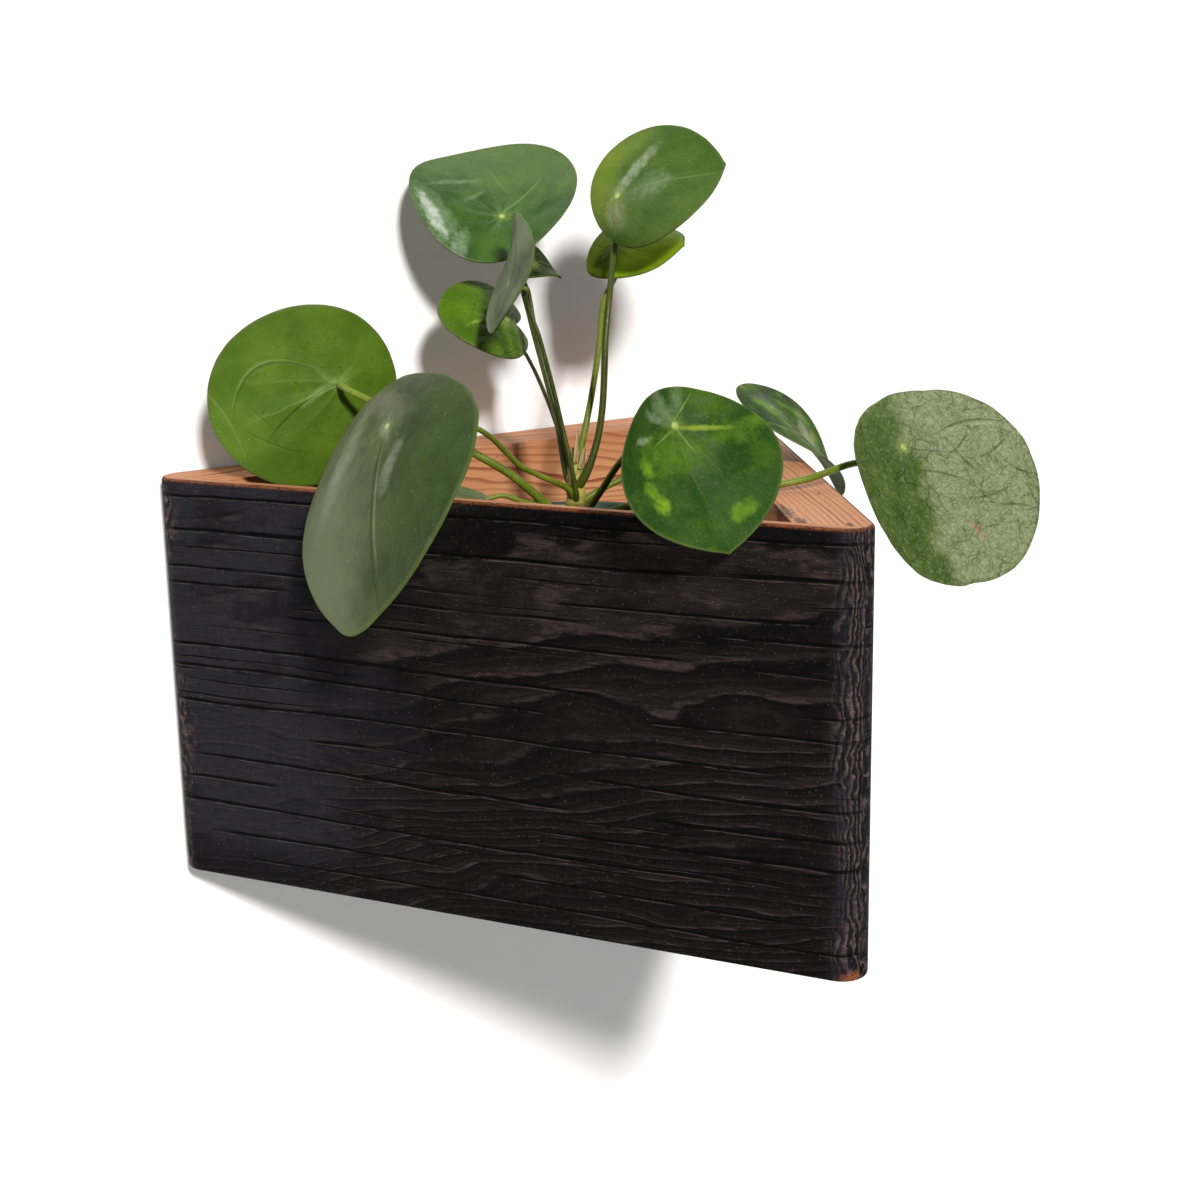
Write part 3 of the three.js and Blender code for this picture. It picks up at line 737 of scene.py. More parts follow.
def lathe(shape, profile, steps, place=(0, 0, 0), to_wall=False):
    """A closed turned shape from pairs of radius and height; to_wall lays its axis along Y."""
    rows = []
    for radius, height in profile:
        flat = [Vector((x, y, height)) for x, y in around(radius, steps if radius else 1)]
        if to_wall:
            flat = [Vector((point.x, point.z, -point.y)) for point in flat]
        rows.append([shape.verts.new(point + Vector(place)) for point in flat])
    bridge(shape, rows)


def channel_box(shape):
    size = (CHANNEL["length"], 2 * CHANNEL["depth"], CHANNEL["top"] - CHANNEL["bottom"])
    bmesh.ops.create_cube(shape, size=1)
    bmesh.ops.scale(shape, vec=size, verts=shape.verts)
    bmesh.ops.translate(shape, vec=(0, 0, (CHANNEL["top"] + CHANNEL["bottom"]) / 2), verts=shape.verts)


def pilot_plugs(shape):
    end, hole = -SCREW["length"] - JOINT_GAP, SCREW["shank"] + JOINT_GAP
    for x in SCREW_ALONG:
        profile = [(0, end), (hole, end), (hole, PLUG_END), (0, PLUG_END)]
        lathe(shape, profile, ROUND, (x, 0, SCREW_Z), to_wall=True)


def evaluated_mesh(item):
    graph = bpy.context.evaluated_depsgraph_get()
    return bpy.data.meshes.new_from_object(item.evaluated_get(graph))


def cut_away(mesh, tool_mesh):
    """The mesh less a tool, by an exact Boolean."""
    body, tool = add_object("body", mesh), add_object("tool", tool_mesh)
    modifier = body.modifiers.new("cut", "BOOLEAN")
    modifier.operation, modifier.solver, modifier.object = "DIFFERENCE", "EXACT", tool
    result = evaluated_mesh(body)
    for item in (body, tool):
        bpy.data.objects.remove(item)
    return result


milled = cut_away(cut_away(wall_mesh, mesh_of("channel", channel_box)), mesh_of("pilots", pilot_plugs))
milled.name = "wall_board"
milled.materials.clear()
mark_charred(milled, back_is_bare=True)
add_piece("wall_board_wood", milled, [charred["wall"], bare["wall"]], ["wall_board"], "natural_wood", 40)
print("wall board faces:", len(milled.polygons))

# %% [markdown]
# The base panel and the hanging cleat are plain pieces whose CAD shape is right. They keep it,
# and get fir of their own. The panel's underside is charred like the rest of the outside.

# %% Base panel and cleat
CLEAT_SHIFT = (40, 30, 5)


def draw_panel(tree):
    height = parts(object_mm(tree))[2]
    return fir_on(*grain_on(tree, "wall"), height.step(-79.8, -78, 1, 0))


def draw_cleat(tree):
    place = object_mm(tree, shift=CLEAT_SHIFT)
    grain = board_grain(place=place, year=3.6, axis_depth=-30, axis_height=20, tilt=0.02, wander=18,
                        ripple=1.2)
    return fir_on(place, grain, 0.0)


for node_name, material in (("base_panel", make_material("bare_panel", draw_panel, 0.25)),
                            ("hanging_cleat", make_material("bare_cleat", draw_cleat, 0.2))):
    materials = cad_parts[node_name].data.materials
    materials.clear()
    materials.append(material)
    print(node_name, "is dressed in", material.name)

# %% [markdown]
# ## Screws
# Four countersunk screws hold the cleat. They are all alike, so one screw is modelled, with its
# cross recess, and a Geometry Nodes tree sets it on four points.

# %% Draw one screw
RECESS = dict(depth=1.3, arm=1.9, half_width=0.42, taper=0.6)
THREAD = dict(start=1.5, pitch=1.1, core=0.78, end=3)


def draw_steel(tree):
    place = object_mm(tree)
    grain = clouds(place, 1.5, 3, 0.6)
    color = painted((196, 192, 180), (grain.step(0.35, 0.7), (222, 220, 212)))
    return color, grain.step(0.3, 0.7, 0.28, 0.42), clouds(place, 6, 2)


def recess_depth(x, y):
    """How deep the cross recess is at a point of the head."""
    reach, width = max(abs(x), abs(y)), min(abs(x), abs(y))
    if reach > RECESS["arm"] or width > RECESS["half_width"]:
        return 0
    return RECESS["depth"] * (1 - RECESS["taper"] * reach / RECESS["arm"])


def screw_body(shape):
    head, shank, sink, length = SCREW.values()
    side = [(head, -JOINT_GAP), (head - 0.15, -JOINT_GAP - 0.15), (shank, -sink)]
    thread, y = [], -sink - THREAD["start"]
    while y > -length + THREAD["end"]:
        thread += [(shank * THREAD["core"], y), (shank, y - THREAD["pitch"] / 2)]
        y -= THREAD["pitch"]
    tip = [(shank * 0.7, -length + 2.5), (0.2, -length), (0, -length)]
    lathe(shape, side + thread + tip, ROUND, to_wall=True)
    rings = 9
    rows = [[shape.verts.new((x, -JOINT_GAP - recess_depth(x, y), -y))
             for x, y in around(head * (ring + 1) / rings, ROUND)] for ring in range(rings)]
    middle = shape.verts.new((0, -JOINT_GAP - RECESS["depth"], 0))
    bridge(shape, [[middle], *rows])
    bmesh.ops.remove_doubles(shape, verts=shape.verts, dist=0.001)


steel = make_material("zinc_steel", draw_steel, 0.02, Metallic=1.0)
screw_pattern = mesh_of("screw_pattern", screw_body)
print("one screw:", len(screw_pattern.vertices), "points")

# %% [markdown]
# The trees below are all made with one small helper: it opens a Geometry Nodes group with named
# inputs, and a second helper runs it on a mesh and gives back the plain result.

# %% Geometry Nodes helpers
def make_tree(name, draw, **inputs):
    """A Geometry Nodes tree with the given sockets, whose result is realized and gets a material."""
    tree = bpy.data.node_groups.new(name, "GeometryNodeTree")
    tree.interface.new_socket("Geometry", in_out="OUTPUT", socket_type="NodeSocketGeometry")
    for label, kind in {"Geometry": "Geometry", **inputs, "Material": "Material"}.items():
        tree.interface.new_socket(label, in_out="INPUT", socket_type="NodeSocket" + kind)
    entry, leave = tree.nodes.new("NodeGroupInput"), tree.nodes.new("NodeGroupOutput")
    given = {socket.name: Field(socket) for socket in entry.outputs if socket.name}
    realized = put(tree, "GeometryNodeRealizeInstances", {"Geometry": draw(tree, given)})
    sockets = {"Geometry": realized, "Material": given["Material"]}
    feed(leave.inputs[0], put(tree, "GeometryNodeSetMaterial", sockets))
    return tree


def run_tree(name, mesh, tree, **values):
    """Runs a tree on a mesh as a modifier and gives the result as a plain mesh without materials."""
    carrier = add_object("carrier", mesh)
    modifier = carrier.modifiers.new("nodes", "NODES")
    modifier.node_group = tree
    for item in tree.interface.items_tree:
        if item.in_out == "INPUT" and item.name in values:
            modifier[item.identifier] = values[item.name]
    result = evaluated_mesh(carrier)
    result.name = name
    result.materials.clear()
    carrier.modifiers.clear()
    bpy.data.objects.remove(carrier)
    return result


def draw_set_on_points(tree, given):
    points = put(tree, "GeometryNodeMeshToPoints", {"Mesh": given["Geometry"]})
    pattern = put(tree, "GeometryNodeObjectInfo", {"Object": given["Pattern"]}, "Geometry")
    return put(tree, "GeometryNodeInstanceOnPoints", {"Points": points, "Instance": pattern})


set_tree = make_tree("set_on_points", draw_set_on_points, Pattern="Object")
pattern = add_object("pattern", screw_pattern)
spots = bpy.data.meshes.new("screw_spots")
spots.from_pydata([(x * MM, 0, SCREW_Z * MM) for x in SCREW_ALONG], [], [])
screw_mesh = run_tree("cleat_screws", spots, set_tree, Pattern=pattern, Material=steel)
bpy.data.objects.remove(pattern)
add_piece("cleat_screws_steel", screw_mesh, [steel], [f"cleat_screw_{i}" for i in (1, 2, 3, 4)], "steel", 25)
print("screws:", len(screw_mesh.polygons), "faces")

# %% [markdown]
# ## Pot and soil
# The nursery pot is thin dark green plastic: a tapered wall, a band under the rim and a rolled
# top. A lathe profile gives all of it.

# %% Turn the pot
POT_CENTRE = (-12.8, -95.1)
POT_FLOOR, POT_RIM = -61.7, 56
RIM_RADIUS, BASE_RADIUS, LIP, LIP_DEPTH, POT_WALL = 60, 46, 8, 2.6, 1.4
RIM_ROUND = 0.9  # radius of the rim's edge
FOOT = [(38, 0), (39, 1.5), (42, 1.5), (43, 0), (BASE_RADIUS - 1, 0), (BASE_RADIUS, 1)]
POT_STEPS = 96


def pot_outside(z):
    return BASE_RADIUS + (RIM_RADIUS - LIP_DEPTH - BASE_RADIUS) * (z - POT_FLOOR) / (POT_RIM - POT_FLOOR)


def pot_profile():
    lip = POT_RIM - LIP
    foot = [(radius, POT_FLOOR + rise) for radius, rise in FOOT]
    wall = [(pot_outside(z), z) for z in (0, lip - 0.5)] + [(RIM_RADIUS - 0.4, lip), (RIM_RADIUS, lip + 0.4)]
    roll = [(RIM_RADIUS - RIM_ROUND + RIM_ROUND * math.cos(a), POT_RIM - RIM_ROUND + RIM_ROUND * math.sin(a))
            for a in (math.radians(15 * i) for i in range(7))]
    mouth = pot_outside(POT_RIM) - POT_WALL
    inside = [(mouth + 0.6, POT_RIM), (mouth, POT_RIM - 0.7),
              (pot_outside(0) - POT_WALL, 0), (pot_outside(POT_FLOOR + 2.5) - POT_WALL, POT_FLOOR + 2.9),
              (0, POT_FLOOR + 2.9)]
    return [(0, POT_FLOOR), *foot, *wall, *roll, *inside]


def draw_plastic(tree):
    place = object_mm(tree)
    bloom = clouds(place, 0.08, 3)
    scuff = clouds(place, (0.3, 0.3, 2.0), 3, 0.7).step(0.62, 0.75)
    dust = parts(place)[2].step(30, 56) * 0.25
    color = painted((20, 52, 44), (bloom.step(0.3, 0.7), (30, 66, 54)),
                    (scuff * 0.2 + dust * bloom, (104, 112, 96)))
    return color, bloom.step(0.3, 0.7, 0.38, 0.5) + scuff * 0.1, clouds(place, 0.9, 2) + scuff * 0.2


plastic = make_material("green_plastic", draw_plastic, 0.08)
pot_mesh = mesh_of("nursery_pot", lambda shape: lathe(shape, pot_profile(), POT_STEPS, (*POT_CENTRE, 0)))
add_piece("nursery_pot_plastic", pot_mesh, [plastic], ["nursery_pot"], "pot_plastic", 50)
print("pot:", len(pot_mesh.polygons), "faces")

# %% [markdown]
# The soil is a crowned plug with an uneven top. Geometry Nodes scatter small lumpy crumbs over
# that top. Their spread is random but has a fixed seed, so it is the same in each run.

# %% Fill in the soil
SOIL_TOP, SOIL_CROWN = 42, 3
SOIL_RINGS, SOIL_STEPS = 30, 110
SOIL_FLOOR = POT_FLOOR + 3.2
CRUMBS = dict(Density=150000.0, Crumb=0.0011, Seed=7)
CRUMB_SIZES = (0.35, 1.3)
CRUMB_ROUGHNESS = 0.0022


def soil_radius(z):
    return pot_outside(z) - POT_WALL - 0.5


def soil_height(x, y):
    """The top of the soil, with lumps of a few millimetres."""
    away = math.hypot(x, y) / soil_radius(SOIL_TOP)
    rise = SOIL_CROWN * (1 - away ** 1.4)
    lumps = 1.1 * noise.noise(Vector((x / 9, y / 9, 3))) + 0.5 * noise.noise(Vector((x / 3, y / 3, 8)))
    return SOIL_TOP + max(rise, 0) + lumps * min(1, 3 * (1 - away) + 0.2) - 0.6


def soil_body(shape):
    def ring(radius, level=None):
        return [shape.verts.new((POT_CENTRE[0] + x, POT_CENTRE[1] + y,
                                 soil_height(x, y) if level is None else level))
                for x, y in around(radius, SOIL_STEPS)]

    middle = shape.verts.new((*POT_CENTRE, soil_height(0, 0)))
    rows = [ring(soil_radius(SOIL_TOP) * step / SOIL_RINGS) for step in range(1, SOIL_RINGS + 1)]
    rows += [ring(soil_radius(level), level) for level in (0, SOIL_FLOOR)]
    for i in range(SOIL_STEPS):
        j = (i + 1) % SOIL_STEPS
        shape.faces.new((middle, rows[0][i], rows[0][j]))
        for low, high in zip(rows, rows[1:]):
            shape.faces.new((low[i], high[i], high[j], low[j]))
    shape.faces.new(rows[-1])


def draw_soil(tree):
    place = object_mm(tree)
    patch = clouds(place, 0.12, 4, 0.6)
    color = painted((36, 26, 20), (patch.step(0.35, 0.65), (66, 48, 36)),
                    (clouds(place, 1.1, 2).step(0.66, 0.72) * 0.7, (128, 100, 70)))
    return color, patch.step(0.3, 0.7, 0.85, 0.97), cells(place, 0.7, "F1") * 0.7 + patch


def draw_crumbs(tree, given):
    spread = {"Mesh": given["Geometry"], "Density": given["Density"], "Seed": given["Seed"]}
    points = put(tree, "GeometryNodeDistributePointsOnFaces", spread, "Points")
    ball = put(tree, "GeometryNodeMeshIcoSphere", {"Radius": given["Crumb"], "Subdivisions": 2})
    lump = put(tree, "TexNoise", {"Scale": 900.0, "Detail": 2.0}, "Color")
    push = vector_math("SUBTRACT", lump, (0.5, 0.5, 0.5))
    push = put(tree, "VectorMath", {0: push, "Scale": CRUMB_ROUGHNESS}, operation="SCALE")
    crumb = put(tree, "GeometryNodeSetPosition", {"Geometry": ball, "Offset": push})
    turn = put(tree, "FunctionNodeRandomValue", {"Max": (6.28,) * 3, "Seed": given["Seed"]},
               data_type="FLOAT_VECTOR")
    size = put(tree, "FunctionNodeRandomValue", {2: CRUMB_SIZES[0], 3: CRUMB_SIZES[1], "Seed": given["Seed"]},
               1, data_type="FLOAT")
    placed = put(tree, "GeometryNodeInstanceOnPoints",
                 {"Points": points, "Instance": crumb, "Rotation": turn, "Scale": size})
    both = put(tree, "GeometryNodeJoinGeometry", {0: given["Geometry"]})
    feed(both.socket.node.inputs[0], placed)
    return both


def with_meshes(name, meshes, left_out=lambda face: False):
    """One mesh out of several, less the faces that a rule leaves out."""
    shape = bmesh.new()
    for mesh in meshes:
        shape.from_mesh(mesh)
    bmesh.ops.delete(shape, geom=[face for face in shape.faces if left_out(face)], context="FACES")
    result = bpy.data.meshes.new(name)
    shape.to_mesh(result)
    shape.free()
    return result


crumb_tree = make_tree("scattered_crumbs", draw_crumbs, Density="Float", Crumb="Float", Seed="Int")
soil_matter = make_material("potting_soil", draw_soil, 0.9)
soil_mesh = mesh_of("soil", soil_body)
soil_top = with_meshes("soil_top", [soil_mesh], lambda face: face.normal.z < 0.5)
crumbs = run_tree("soil_crumbs", soil_top, crumb_tree, Material=soil_matter, **CRUMBS)
soil_whole = with_meshes("soil_and_crumbs", [soil_mesh, crumbs])
add_piece("soil_crumbly", soil_whole, [soil_matter], ["soil"], "soil")
print("soil:", len(soil_whole.polygons), "faces")

# %% [markdown]
# ## Smooth tubes
# A stalk is a tapered tube along a smooth curve. The curve is the CAD's own: a centripetal
# Catmull-Rom spline through the same points. Geometry Nodes turn it into a tube whose radius
# comes from a value on each point, and that value also carries the swellings at both ends.

# %% A smooth tube through points
def spline(points, samples=24):
    """A centripetal Catmull-Rom curve as a list of close points."""
    points = [Vector(point) for point in points]
    ends = [points[0] * 2 - points[1], *points, points[-1] * 2 - points[-2]]
    curve = []
    for i in range(len(points) - 1):
        four = ends[i:i + 4]
        gaps = [max((b - a).length ** 0.5, 1e-4) for a, b in zip(four, four[1:])]
        knots = [0, gaps[0], gaps[0] + gaps[1], sum(gaps)]
        for step in range(samples):
            t = knots[1] + gaps[1] * step / samples
            row, width = four, 1
            while len(row) > 1:
                row = [row[k] * ((knots[k + width] - t) / (knots[k + width] - knots[k]))
                       + row[k + 1] * ((t - knots[k]) / (knots[k + width] - knots[k]))
                       for k in range(len(row) - 1)]
                width += 1
            curve.append(row[0])
    return curve + [points[-1]]


def even(curve, count):
    """The same curve as points at even distances, and its length."""
    lengths = [0.0]
    for a, b in zip(curve, curve[1:]):
        lengths.append(lengths[-1] + (b - a).length)
    result, i = [], 0
    for step in range(count + 1):
        target = lengths[-1] * step / count
        while i < len(curve) - 2 and lengths[i + 1] < target:
            i += 1
        share = (target - lengths[i]) / max(lengths[i + 1] - lengths[i], 1e-9)
        result.append(curve[i].lerp(curve[i + 1], min(max(share, 0), 1)))
    return result, lengths[-1]


def draw_tube(tree, given):
    path = put(tree, "GeometryNodeMeshToCurve", {"Mesh": given["Geometry"]})
    thickness = put(tree, "GeometryNodeInputNamedAttribute", {"Name": "thickness"}, data_type="FLOAT")
    ring = put(tree, "GeometryNodeCurvePrimitiveCircle", {"Resolution": given["Sides"], "Radius": 1.0})
    return put(tree, "GeometryNodeCurveToMesh",
               {"Curve": path, "Profile Curve": ring, "Scale": thickness, "Fill Caps": True})


tube_tree = make_tree("grown_tube", draw_tube, Sides="Int")


def tube_mesh(name, points, radii, sides, material):
    """A tube through points in millimetres, with a radius for each."""
    last = len(points) - 1
    path = bpy.data.meshes.new("path")
    path.from_pydata([point * MM for point in points], [(i, i + 1) for i in range(last)], [])
    for label, numbers in (("thickness", [radius * MM for radius in radii]),
                           ("along", [i / last for i in range(last + 1)])):
        path.attributes.new(label, "FLOAT", "POINT").data.foreach_set("value", numbers)
    return run_tree(name, path, tube_tree, Sides=sides, Material=material)


print("tube tree nodes:", len(tube_tree.nodes))

# %% [markdown]
# ## Leaves: the blade's form
# A pilea's blade is a nearly round plate with its stalk under it, away from the edge. The formula
# is the CAD's: an oval round the stalk's point, lifted by a cup, a bend, a fold and two waves.
# Here it gets many more points, a rounded rim, and the shallow valleys that its main veins make.

# %% The leaves' sizes and places
LEAVES = {
    "upper_left": dict(
        at=(-6, -41.2, 174), turn=(75, -36, 14), size=(70, 67), oval=(0.33, 0.04, 0.02),
        lift=(3.6, -0.9, 1.4), saddle=(5.5, 148), ripple=(1.8, 251), stalk=(1.75, 1.35),
        via=[(-11, -92, 78), (-9, -83, 97), (-7, -65, 129), (-5, -54, 146)]),
    "folded": dict(
        at=(-32.6, -87.2, 151.6), turn=(59, -28, 70), size=(48, 46), oval=(0.34, 0.04, 0.02),
        lift=(-0.1, -0.3, -0.1), saddle=(2.2, 248), ripple=(1.3, 181), stalk=(1, 0.85),
        via=[(-12, -99, 71), (-15, -94, 99), (-21, -89, 132), (-25, -86, 147)]),
    "small_dark": dict(
        at=(-11.5, -69.5, 157), turn=(-3, 6, -35), size=(22, 21), oval=(0.34, 0.04, 0.02),
        lift=(0.1, -1.5, 0.6), saddle=(2.4, 205), ripple=(0.2, 88), stalk=(0.85, 0.7),
        via=[(-11, -95, 77), (-13, -89, 99), (-15, -78, 131), (-14, -72, 147)]),
    "small_bitten": dict(
        at=(-7.1, -44.5, 133.4), turn=(178, -19, 47), size=(41, 39), oval=(0.31, 0.03, 0.01),
        lift=(-2.5, -2.2, -0.2), saddle=(0.7, 162), ripple=(0.4, 188), stalk=(0.95, 0.75),
        bite=(186, 0.3, 12),
        via=[(-8, -89, 80), (-5, -72, 100), (-1, -51, 117), (-1, -44, 122)]),
    "upper_right": dict(
        at=(19.9, -84.9, 182.2), turn=(-59, -21, -61), size=(54, 51), oval=(0.23, 0.02, 0.04),
        lift=(-1.8, -2.3, 1.2), saddle=(1.8, 278), ripple=(1.1, 154), stalk=(1.5, 1.2), nib=0.04,
        via=[(-8, -100, 78), (-3, -101, 91), (0, -101, 106), (3, -99, 129), (9, -94, 147),
             (16, -86, 156), (22, -80, 165)]),
    "under_right": dict(
        at=(32.9, -65.9, 162.7), turn=(-62, -3, -31), size=(42, 40), oval=(0.34, 0.04, 0.02),
        lift=(-2.6, -0.5, -0.8), saddle=(1.6, 278), ripple=(1.1, 35), stalk=(1.45, 1.1), nib=0.05,
        via=[(-5, -91, 83), (6, -84, 104), (17, -75, 126), (25, -67, 141)]),
    "left": dict(
        at=(-87.7, -53.1, 115.6), turn=(165, 22, -83), size=(73, 71), oval=(0.32, 0.01, 0.01),
        lift=(3.8, 2.6, 0.6), saddle=(2.6, 72), ripple=(1.2, 109), stalk=(2.1, 1.3),
        via=[(-14, -97, 58), (-25, -98, 68), (-39, -95, 81), (-52, -90, 90), (-67, -83, 100)]),
    "drooping": dict(
        at=(-101.9, -115.6, 108), turn=(-156, 53, -18), size=(94, 89), oval=(0.27, 0.05, 0.12),
        lift=(-6.9, -3.3, 0.6), saddle=(1.1, 40), ripple=(1.5, 222), stalk=(1.15, 1), scallop=0.012,
        via=[(-15, -98, 73), (-27, -100, 79), (-38, -100, 85), (-48, -102, 94), (-60, -106, 102)]),
    "low": dict(
        at=(-64, -89.8, 76.5), turn=(154, -9, -1), size=(43, 41), oval=(0.34, 0.04, 0.02),
        lift=(0, -1.2, 0), saddle=(0.8, 60), ripple=(0.5, 120), stalk=(1.1, 0.9),
        via=[(-20, -100, 65), (-37, -99, 71), (-45, -97, 74)]),
    "mottled": dict(
        at=(-37.6, -196.5, 111.2), turn=(-77, 68, -25), size=(57, 56), oval=(0.22, 0, 0.05),
        lift=(6.2, 2.4, 3.2), saddle=(3.8, 122), ripple=(3.4, 293), stalk=(1.45, 1.2), nib=0.05,
        via=[(-9, -101, 63), (-16, -124, 78), (-23, -145, 91), (-30, -169, 102)]),
    "behind": dict(
        at=(69, -118.7, 98.5), turn=(-44, 40, 0), size=(60, 58), oval=(0.26, 0.04, 0.01),
        lift=(-0.5, -2.3, 0.7), saddle=(3.8, 238), ripple=(1.4, 237), stalk=(1.35, 1.1),
        via=[(-6, -96, 67), (8, -100, 74), (36, -107, 85), (55, -112, 90)]),
    "right": dict(
        at=(64.1, -199.5, 93.1), turn=(-47, 46, -46), size=(78, 74), oval=(0.25, 0.01, 0.04),
        lift=(3.5, 0.1, 1.2), saddle=(5.4, 124), ripple=(1.5, 346), stalk=(1.7, 1.25), scallop=0.016,
        via=[(-8, -111, 64), (-6, -134, 72), (1, -160, 78.5), (13, -180, 82), (29, -188, 84.3),
             (47, -189, 87.5)]),
}
BLADE = 0.9  # thickness
print("leaves:", len(LEAVES))

# %% The blade's formula
def blade_axes(leaf):
    """The directions along the tip, to the side and out of the upper face."""
    h, d, r = (math.radians(angle) for angle in leaf["turn"])
    tip = Vector((math.cos(h) * math.cos(d), math.sin(h) * math.cos(d), -math.sin(d)))
    level = Vector((math.cos(h) * math.sin(d), math.sin(h) * math.sin(d), math.cos(d)))
    up = Matrix.Rotation(-r, 3, tip) @ level
    return tip, up.cross(tip), up


def blade_flat(leaf, turn, share):
    """Where a point lies in the blade's plane, in millimetres from the stalk's point."""
    length, width = leaf["size"]
    inset, egg, point = leaf["oval"]
    cosine, sine = math.cos(turn), math.sin(turn)
    near = min(turn, 2 * math.pi - turn)
    reach = 1 + point * math.exp(-((near / 0.32) ** 2)) + leaf.get("nib", 0) * math.exp(-near / 0.09)
    wave = noise.noise(Vector((cosine * 3.2, sine * 3.2, length)))
    wave += 0.5 * noise.noise(Vector((cosine * 7, sine * 7, width)))
    reach *= 1 + leaf.get("scallop", 0.004) * (wave - 0.5)
    if "bite" in leaf:
        at, depth, spread = leaf["bite"]
        reach *= 1 - depth * math.exp(-(((math.degrees(turn) - at) / spread) ** 2))
    along = length * (0.5 - inset) + length / 2 * cosine * reach
    across = width / 2 * sine * (1 - egg * cosine) * reach
    return along * share, across * share


def blade_lift(leaf, turn, share, u, v):
    length, width = leaf["size"]
    cup, bend, fold = leaf["lift"]
    waves = sum(height * math.cos(times * turn - math.radians(phase))
                for times, (height, phase) in ((2, leaf["saddle"]), (3, leaf["ripple"])))
    return share ** 2 * (cup + waves) + bend * 4 * (u / length) ** 2 + fold * abs(v) / (width / 2)


for name in ("left", "low"):
    print(name, "blade, length and width:", LEAVES[name]["size"])

# %% [markdown]
# The relief follows the same veins that the shader draws: about ten of them run out from the
# stalk's point and bend towards the tip. A vein is a shallow valley in the upper face.

# %% The blade's relief and mesh
VEINS = 10
VEIN_SWEEP = 0.9  # how much the side veins bend towards the tip
RELIEF = {"upper_left": 0.5, "right": 0.6, "mottled": 0.45, "drooping": 0.4, "left": 0.35}
BLADE_RINGS, BLADE_STEPS = 34, 144


def relief(name, u, v, share):
    """Millimetres that the blade rises between its veins."""
    angle = math.atan2(v, u)
    swept = angle + VEIN_SWEEP * math.sin(angle) * share
    wave = abs(((swept * VEINS / (2 * math.pi) + 0.5) % 1) - 0.5) * 2
    swell = math.sin(math.pi * min(share * 1.05, 1)) ** 0.8
    lumps = noise.noise(Vector((u / 7, v / 7, len(name)))) + 0.6 * noise.noise(Vector((u / 3.2, v / 3.2, 4)))
    return RELIEF.get(name, 0.25) * swell * (0.9 * wave ** 0.7 + 0.8 * lumps * min(1, 2 * (1.05 - share)))


def blade_points(name):
    """The blade's points, each with its flat place, its share of the radius and 1 if it is below."""
    leaf, half = LEAVES[name], BLADE / 2
    tip, side, up = blade_axes(leaf)
    inner = 1 - half / (min(leaf["size"]) / 2)

    def middle(turn, share):
        u, v = blade_flat(leaf, turn, share)
        lift = blade_lift(leaf, turn, share, u, v) + relief(name, u, v, share)
        return Vector(leaf["at"]) + tip * u + side * v + up * lift, (u, v)

    centre = Vector(leaf["at"]) + up * relief(name, 0.001, 0, 0)
    points = [(centre + up * half, (0, 0), 0, 0), (centre - up * half, (0, 0), 0, 1)]
    for j in range(BLADE_STEPS):
        turn = 2 * math.pi * j / BLADE_STEPS
        column = [(*middle(turn, inner * (i / BLADE_RINGS) ** 0.9), i / BLADE_RINGS)
                  for i in range(1, BLADE_RINGS + 1)]
        edge, edge_flat = middle(turn, inner)
        outward = (middle(turn, 1)[0] - edge).normalized()
        points += [(point + up * half, flat, share, 0) for point, flat, share in column]
        for angle in (60, 30, 0, -30, -60):
            a = math.radians(angle)
            rim = edge + outward * half * math.cos(a) + up * half * math.sin(a)
            points.append((rim, edge_flat, 1, 0 if angle > 0 else 1))
        points += [(point - up * half, flat, share, 1) for point, flat, share in reversed(column)]
    return points


def blade_mesh(name):
    points = blade_points(name)
    rows = (len(points) - 2) // BLADE_STEPS
    faces = []
    for j in range(BLADE_STEPS):
        a, b = 2 + j * rows, 2 + (j + 1) % BLADE_STEPS * rows
        faces += [(0, a, b), (1, b + rows - 1, a + rows - 1)]
        faces += [(a + i, a + i + 1, b + i + 1, b + i) for i in range(rows - 1)]
    mesh = bpy.data.meshes.new("leaf_" + name)
    mesh.from_pydata([point[0] * MM for point in points], [], faces)
    for index, label in ((2, "share"), (3, "under")):
        attribute = mesh.attributes.new(label, "FLOAT", "POINT")
        attribute.data.foreach_set("value", [point[index] for point in points])
    uv = mesh.uv_layers.new(name="blade")
    for loop in mesh.loops:
        u, v = points[loop.vertex_index][1]
        uv.data[loop.index].uv = (u / 100, v / 100)
    return mesh


print("points in a blade:", len(blade_points("low")))

# %% [markdown]
# ## Leaves: the skin
# The shader reads the blade's own flat coordinates, so veins run out from the stalk's point whichever way the
# leaf is turned. One group gives the veins and the net of fine ones between them; another puts the skin
# together, with the pale dot, the rim line and the specks, and with painted light: painted shade in the
# creases, painted shade and highlight on the wrinkles, and a pale painted glare over one side of the blade.

